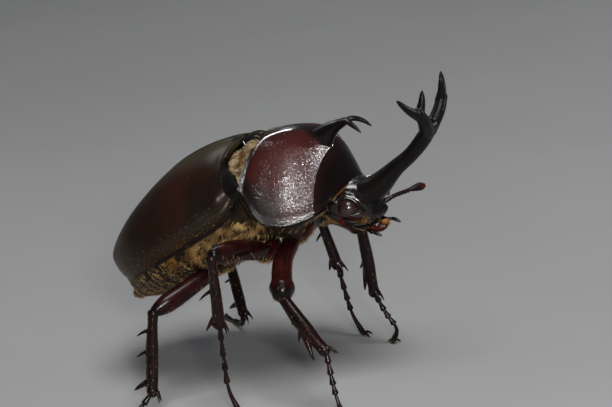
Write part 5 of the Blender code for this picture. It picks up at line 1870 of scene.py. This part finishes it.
@dataclass
class Studio:
    """Floor, lights and camera: aim and eye are in drawing millimetres, other lengths in metres."""

    floor_size: float = 3.2
    floor_depth: float = 0.02
    floor_edge: float = 0.004
    aim: Point = (-6.0, 0.0, 26.0)
    eye: Point = (149.1986, -311.1421, 118.3894)
    azimuth: float = 26.96
    elevation: float = 14.84
    roll: float = 7.42
    lens: float = 150.3
    clip: tuple[float, float] = (0.01, 20.0)
    lamps: Sequence[Lamp] = (
        Lamp("fill", -50.0, 64.0, 0.80, (0.35, 0.35), 4.3, lighting=True),
        Lamp("flash", -58.0, 19.0, 0.50, (0.06, 0.04), 0.9, lighting=True),
        Lamp("glint", -52.0, 22.0, 0.50, (0.20, 0.12), 1.2),
        Lamp("sparkle", -52.0, 18.0, 0.50, (0.045, 0.045), 6.8, FRONT),
        Lamp("sparkle_low", -98.0, 9.0, 0.50, (0.05, 0.05), 1.0, FRONT),
        Lamp("between", -2.0, 26.0, 0.50, (0.14, 0.08), 0.7, FRONT),
        Lamp("window", 54.0, 15.0, 0.50, (0.04, 0.04), 3.4, FRONT),
        Lamp("back_strip", 133.0, 20.0, 0.70, (0.34, 0.03), 0.40, FRONT),
        Lamp("sky_patch", 106.0, 60.0, 0.60, (0.30, 0.20), 1.8, HEAD_PIECES),
        Lamp("sky_low", 142.0, 35.0, 0.60, (0.55, 0.22), 3.2, HEAD_PIECES),
        Lamp("temple", -88.0, 32.0, 0.60, (0.60, 0.35), 12.0, HEAD_PIECES),
        Lamp("lid", -50.0, 13.0, 0.60, (0.28, 0.10), 2.5, HEAD_PIECES),
        Lamp("shoulder", 137.0, 42.0, 0.60, (0.20, 0.10), 0.40, CASES),
        Lamp("nub", -86.0, 9.0, 0.50, (0.06, 0.06), 3.0, CASES),
        Lamp("horn_edge", 145.0, 48.0, 0.60, (0.30, 0.20), 2.0, HORNS),
        Lamp("fork_edge", 38.0, 14.0, 0.60, (0.40, 0.10), 1.2, HORNS),
        Lamp("thigh_edge", 105.0, 50.0, 0.60, (0.60, 0.25), 2.0, THIGH_PIECES),
    )
    sky: tuple[Colour, float] = ((0.75, 0.80, 0.88), 0.08)

    def build_floor(self) -> None:
        """Pale floor with a softly turned edge."""
        select()
        bpy.ops.mesh.primitive_plane_add(size=self.floor_size)
        floor = named("floor")
        with editing(floor):
            bpy.ops.mesh.subdivide(number_cuts=6)
            bpy.ops.mesh.extrude_region_move(TRANSFORM_OT_translate={"value": (0.0, 0.0, -self.floor_depth)})
        with editing(floor):
            bpy.ops.mesh.normals_make_consistent(inside=False)
        top = max(v.co.z for v in floor.data.vertices)
        for vertex in floor.data.vertices:
            vertex.co.z -= top
        modify(floor, "BEVEL", width=self.floor_edge, segments=2)
        floor.data.materials.append(FLOOR.material())

    def build_lamps(self) -> None:
        """Area lights, each turned to the beetle, and a dim pale sky."""
        centre = (Vector(self.aim) + SHIFT) * MM
        for lamp in self.lamps:
            azimuth, elevation = math.radians(lamp.azimuth), math.radians(lamp.elevation)
            way = Vector((math.cos(azimuth) * math.cos(elevation), math.sin(azimuth) * math.cos(elevation),
                          math.sin(elevation)))
            light = bpy.data.lights.new(lamp.name, "AREA")
            light.shape = "RECTANGLE"
            light.size, light.size_y = lamp.size
            light.energy = lamp.watts
            stand = bpy.data.objects.new(lamp.name, light)
            bpy.context.scene.collection.objects.link(stand)
            stand.visible_diffuse = lamp.lighting
            if lamp.pieces:
                lit = bpy.data.collections.new(lamp.name + "_lit")
                for piece in lamp.pieces:
                    lit.objects.link(bpy.data.objects[piece])
                stand.light_linking.receiver_collection = lit
            turn = way.to_track_quat("Z", "Y").to_matrix().to_4x4()
            stand.matrix_world = Matrix.Translation(centre + way * lamp.distance) @ turn
        world = bpy.context.scene.world or bpy.data.worlds.new("sky")
        bpy.context.scene.world = world
        world.use_nodes = True
        back = world.node_tree.nodes["Background"]
        back.inputs["Color"].default_value = solid(self.sky[0])
        back.inputs["Strength"].default_value = self.sky[1]
        bpy.context.scene.view_settings.view_transform = "Standard"

    def build_camera(self) -> None:
        """Camera at the viewpoint of the picture."""
        azimuth, elevation, roll = (math.radians(a) for a in (self.azimuth, self.elevation, self.roll))
        back = Vector((math.sin(azimuth) * math.cos(elevation), -math.cos(azimuth) * math.cos(elevation),
                       math.sin(elevation)))
        level = Vector((math.cos(azimuth), math.sin(azimuth), 0.0))
        upright = back.cross(level)
        right = math.cos(roll) * level - math.sin(roll) * upright
        above = math.sin(roll) * level + math.cos(roll) * upright
        camera = bpy.data.cameras.new("camera")
        camera.lens = self.lens
        camera.clip_start, camera.clip_end = self.clip
        stand = bpy.data.objects.new("camera", camera)
        bpy.context.scene.collection.objects.link(stand)
        turn = Matrix((right, above, back)).transposed().to_4x4()
        stand.matrix_world = Matrix.Translation((Vector(self.eye) + SHIFT) * MM) @ turn
        bpy.context.scene.camera = stand

    def build(self) -> None:
        """Set up the whole studio."""
        self.build_floor()
        self.build_lamps()
        self.build_camera()


def main() -> None:
    """Build the beetle and its studio."""
    logging.basicConfig(level=logging.INFO, format="%(name)s: %(message)s")
    shield = Shield()
    shield_piece = shield.build()
    shield.build_horn()
    wings = WingCases()
    cases = {side: wings.build_case(side) for side in Side}
    wings.build_small_shield()
    trunk = Trunk(shield)
    trunk.build()
    head = Head()
    head.build()
    HeadHorn().build()
    mouth = Mouth()
    mouth.build()
    Feeler(stem=((1.3, 2.6, 25.1), (2.9, 4.0, 25.8), (4.6, 5.2, 26.2)),
           club=((4.4, 5.1, 26.2), (5.9, 6.9, 26.3))).build("antenna_stalk_left", "antenna_left")
    Feeler(stem=((1.4, -2.6, 24.8), (1.9, -3.7, 24.6), (0.9, -4.4, 24.7)),
           club=((1.0, -4.4, 24.7), (-1.1, -5.0, 24.9)), finish=FEELER).build("antenna_stalk_right", "antenna_right")
    legs = six_legs()
    for leg in legs:
        leg.build()
    grow_hair(shield_piece, cases, trunk, head, mouth, legs)
    Studio().build()


if __name__ == "__main__":
    main()
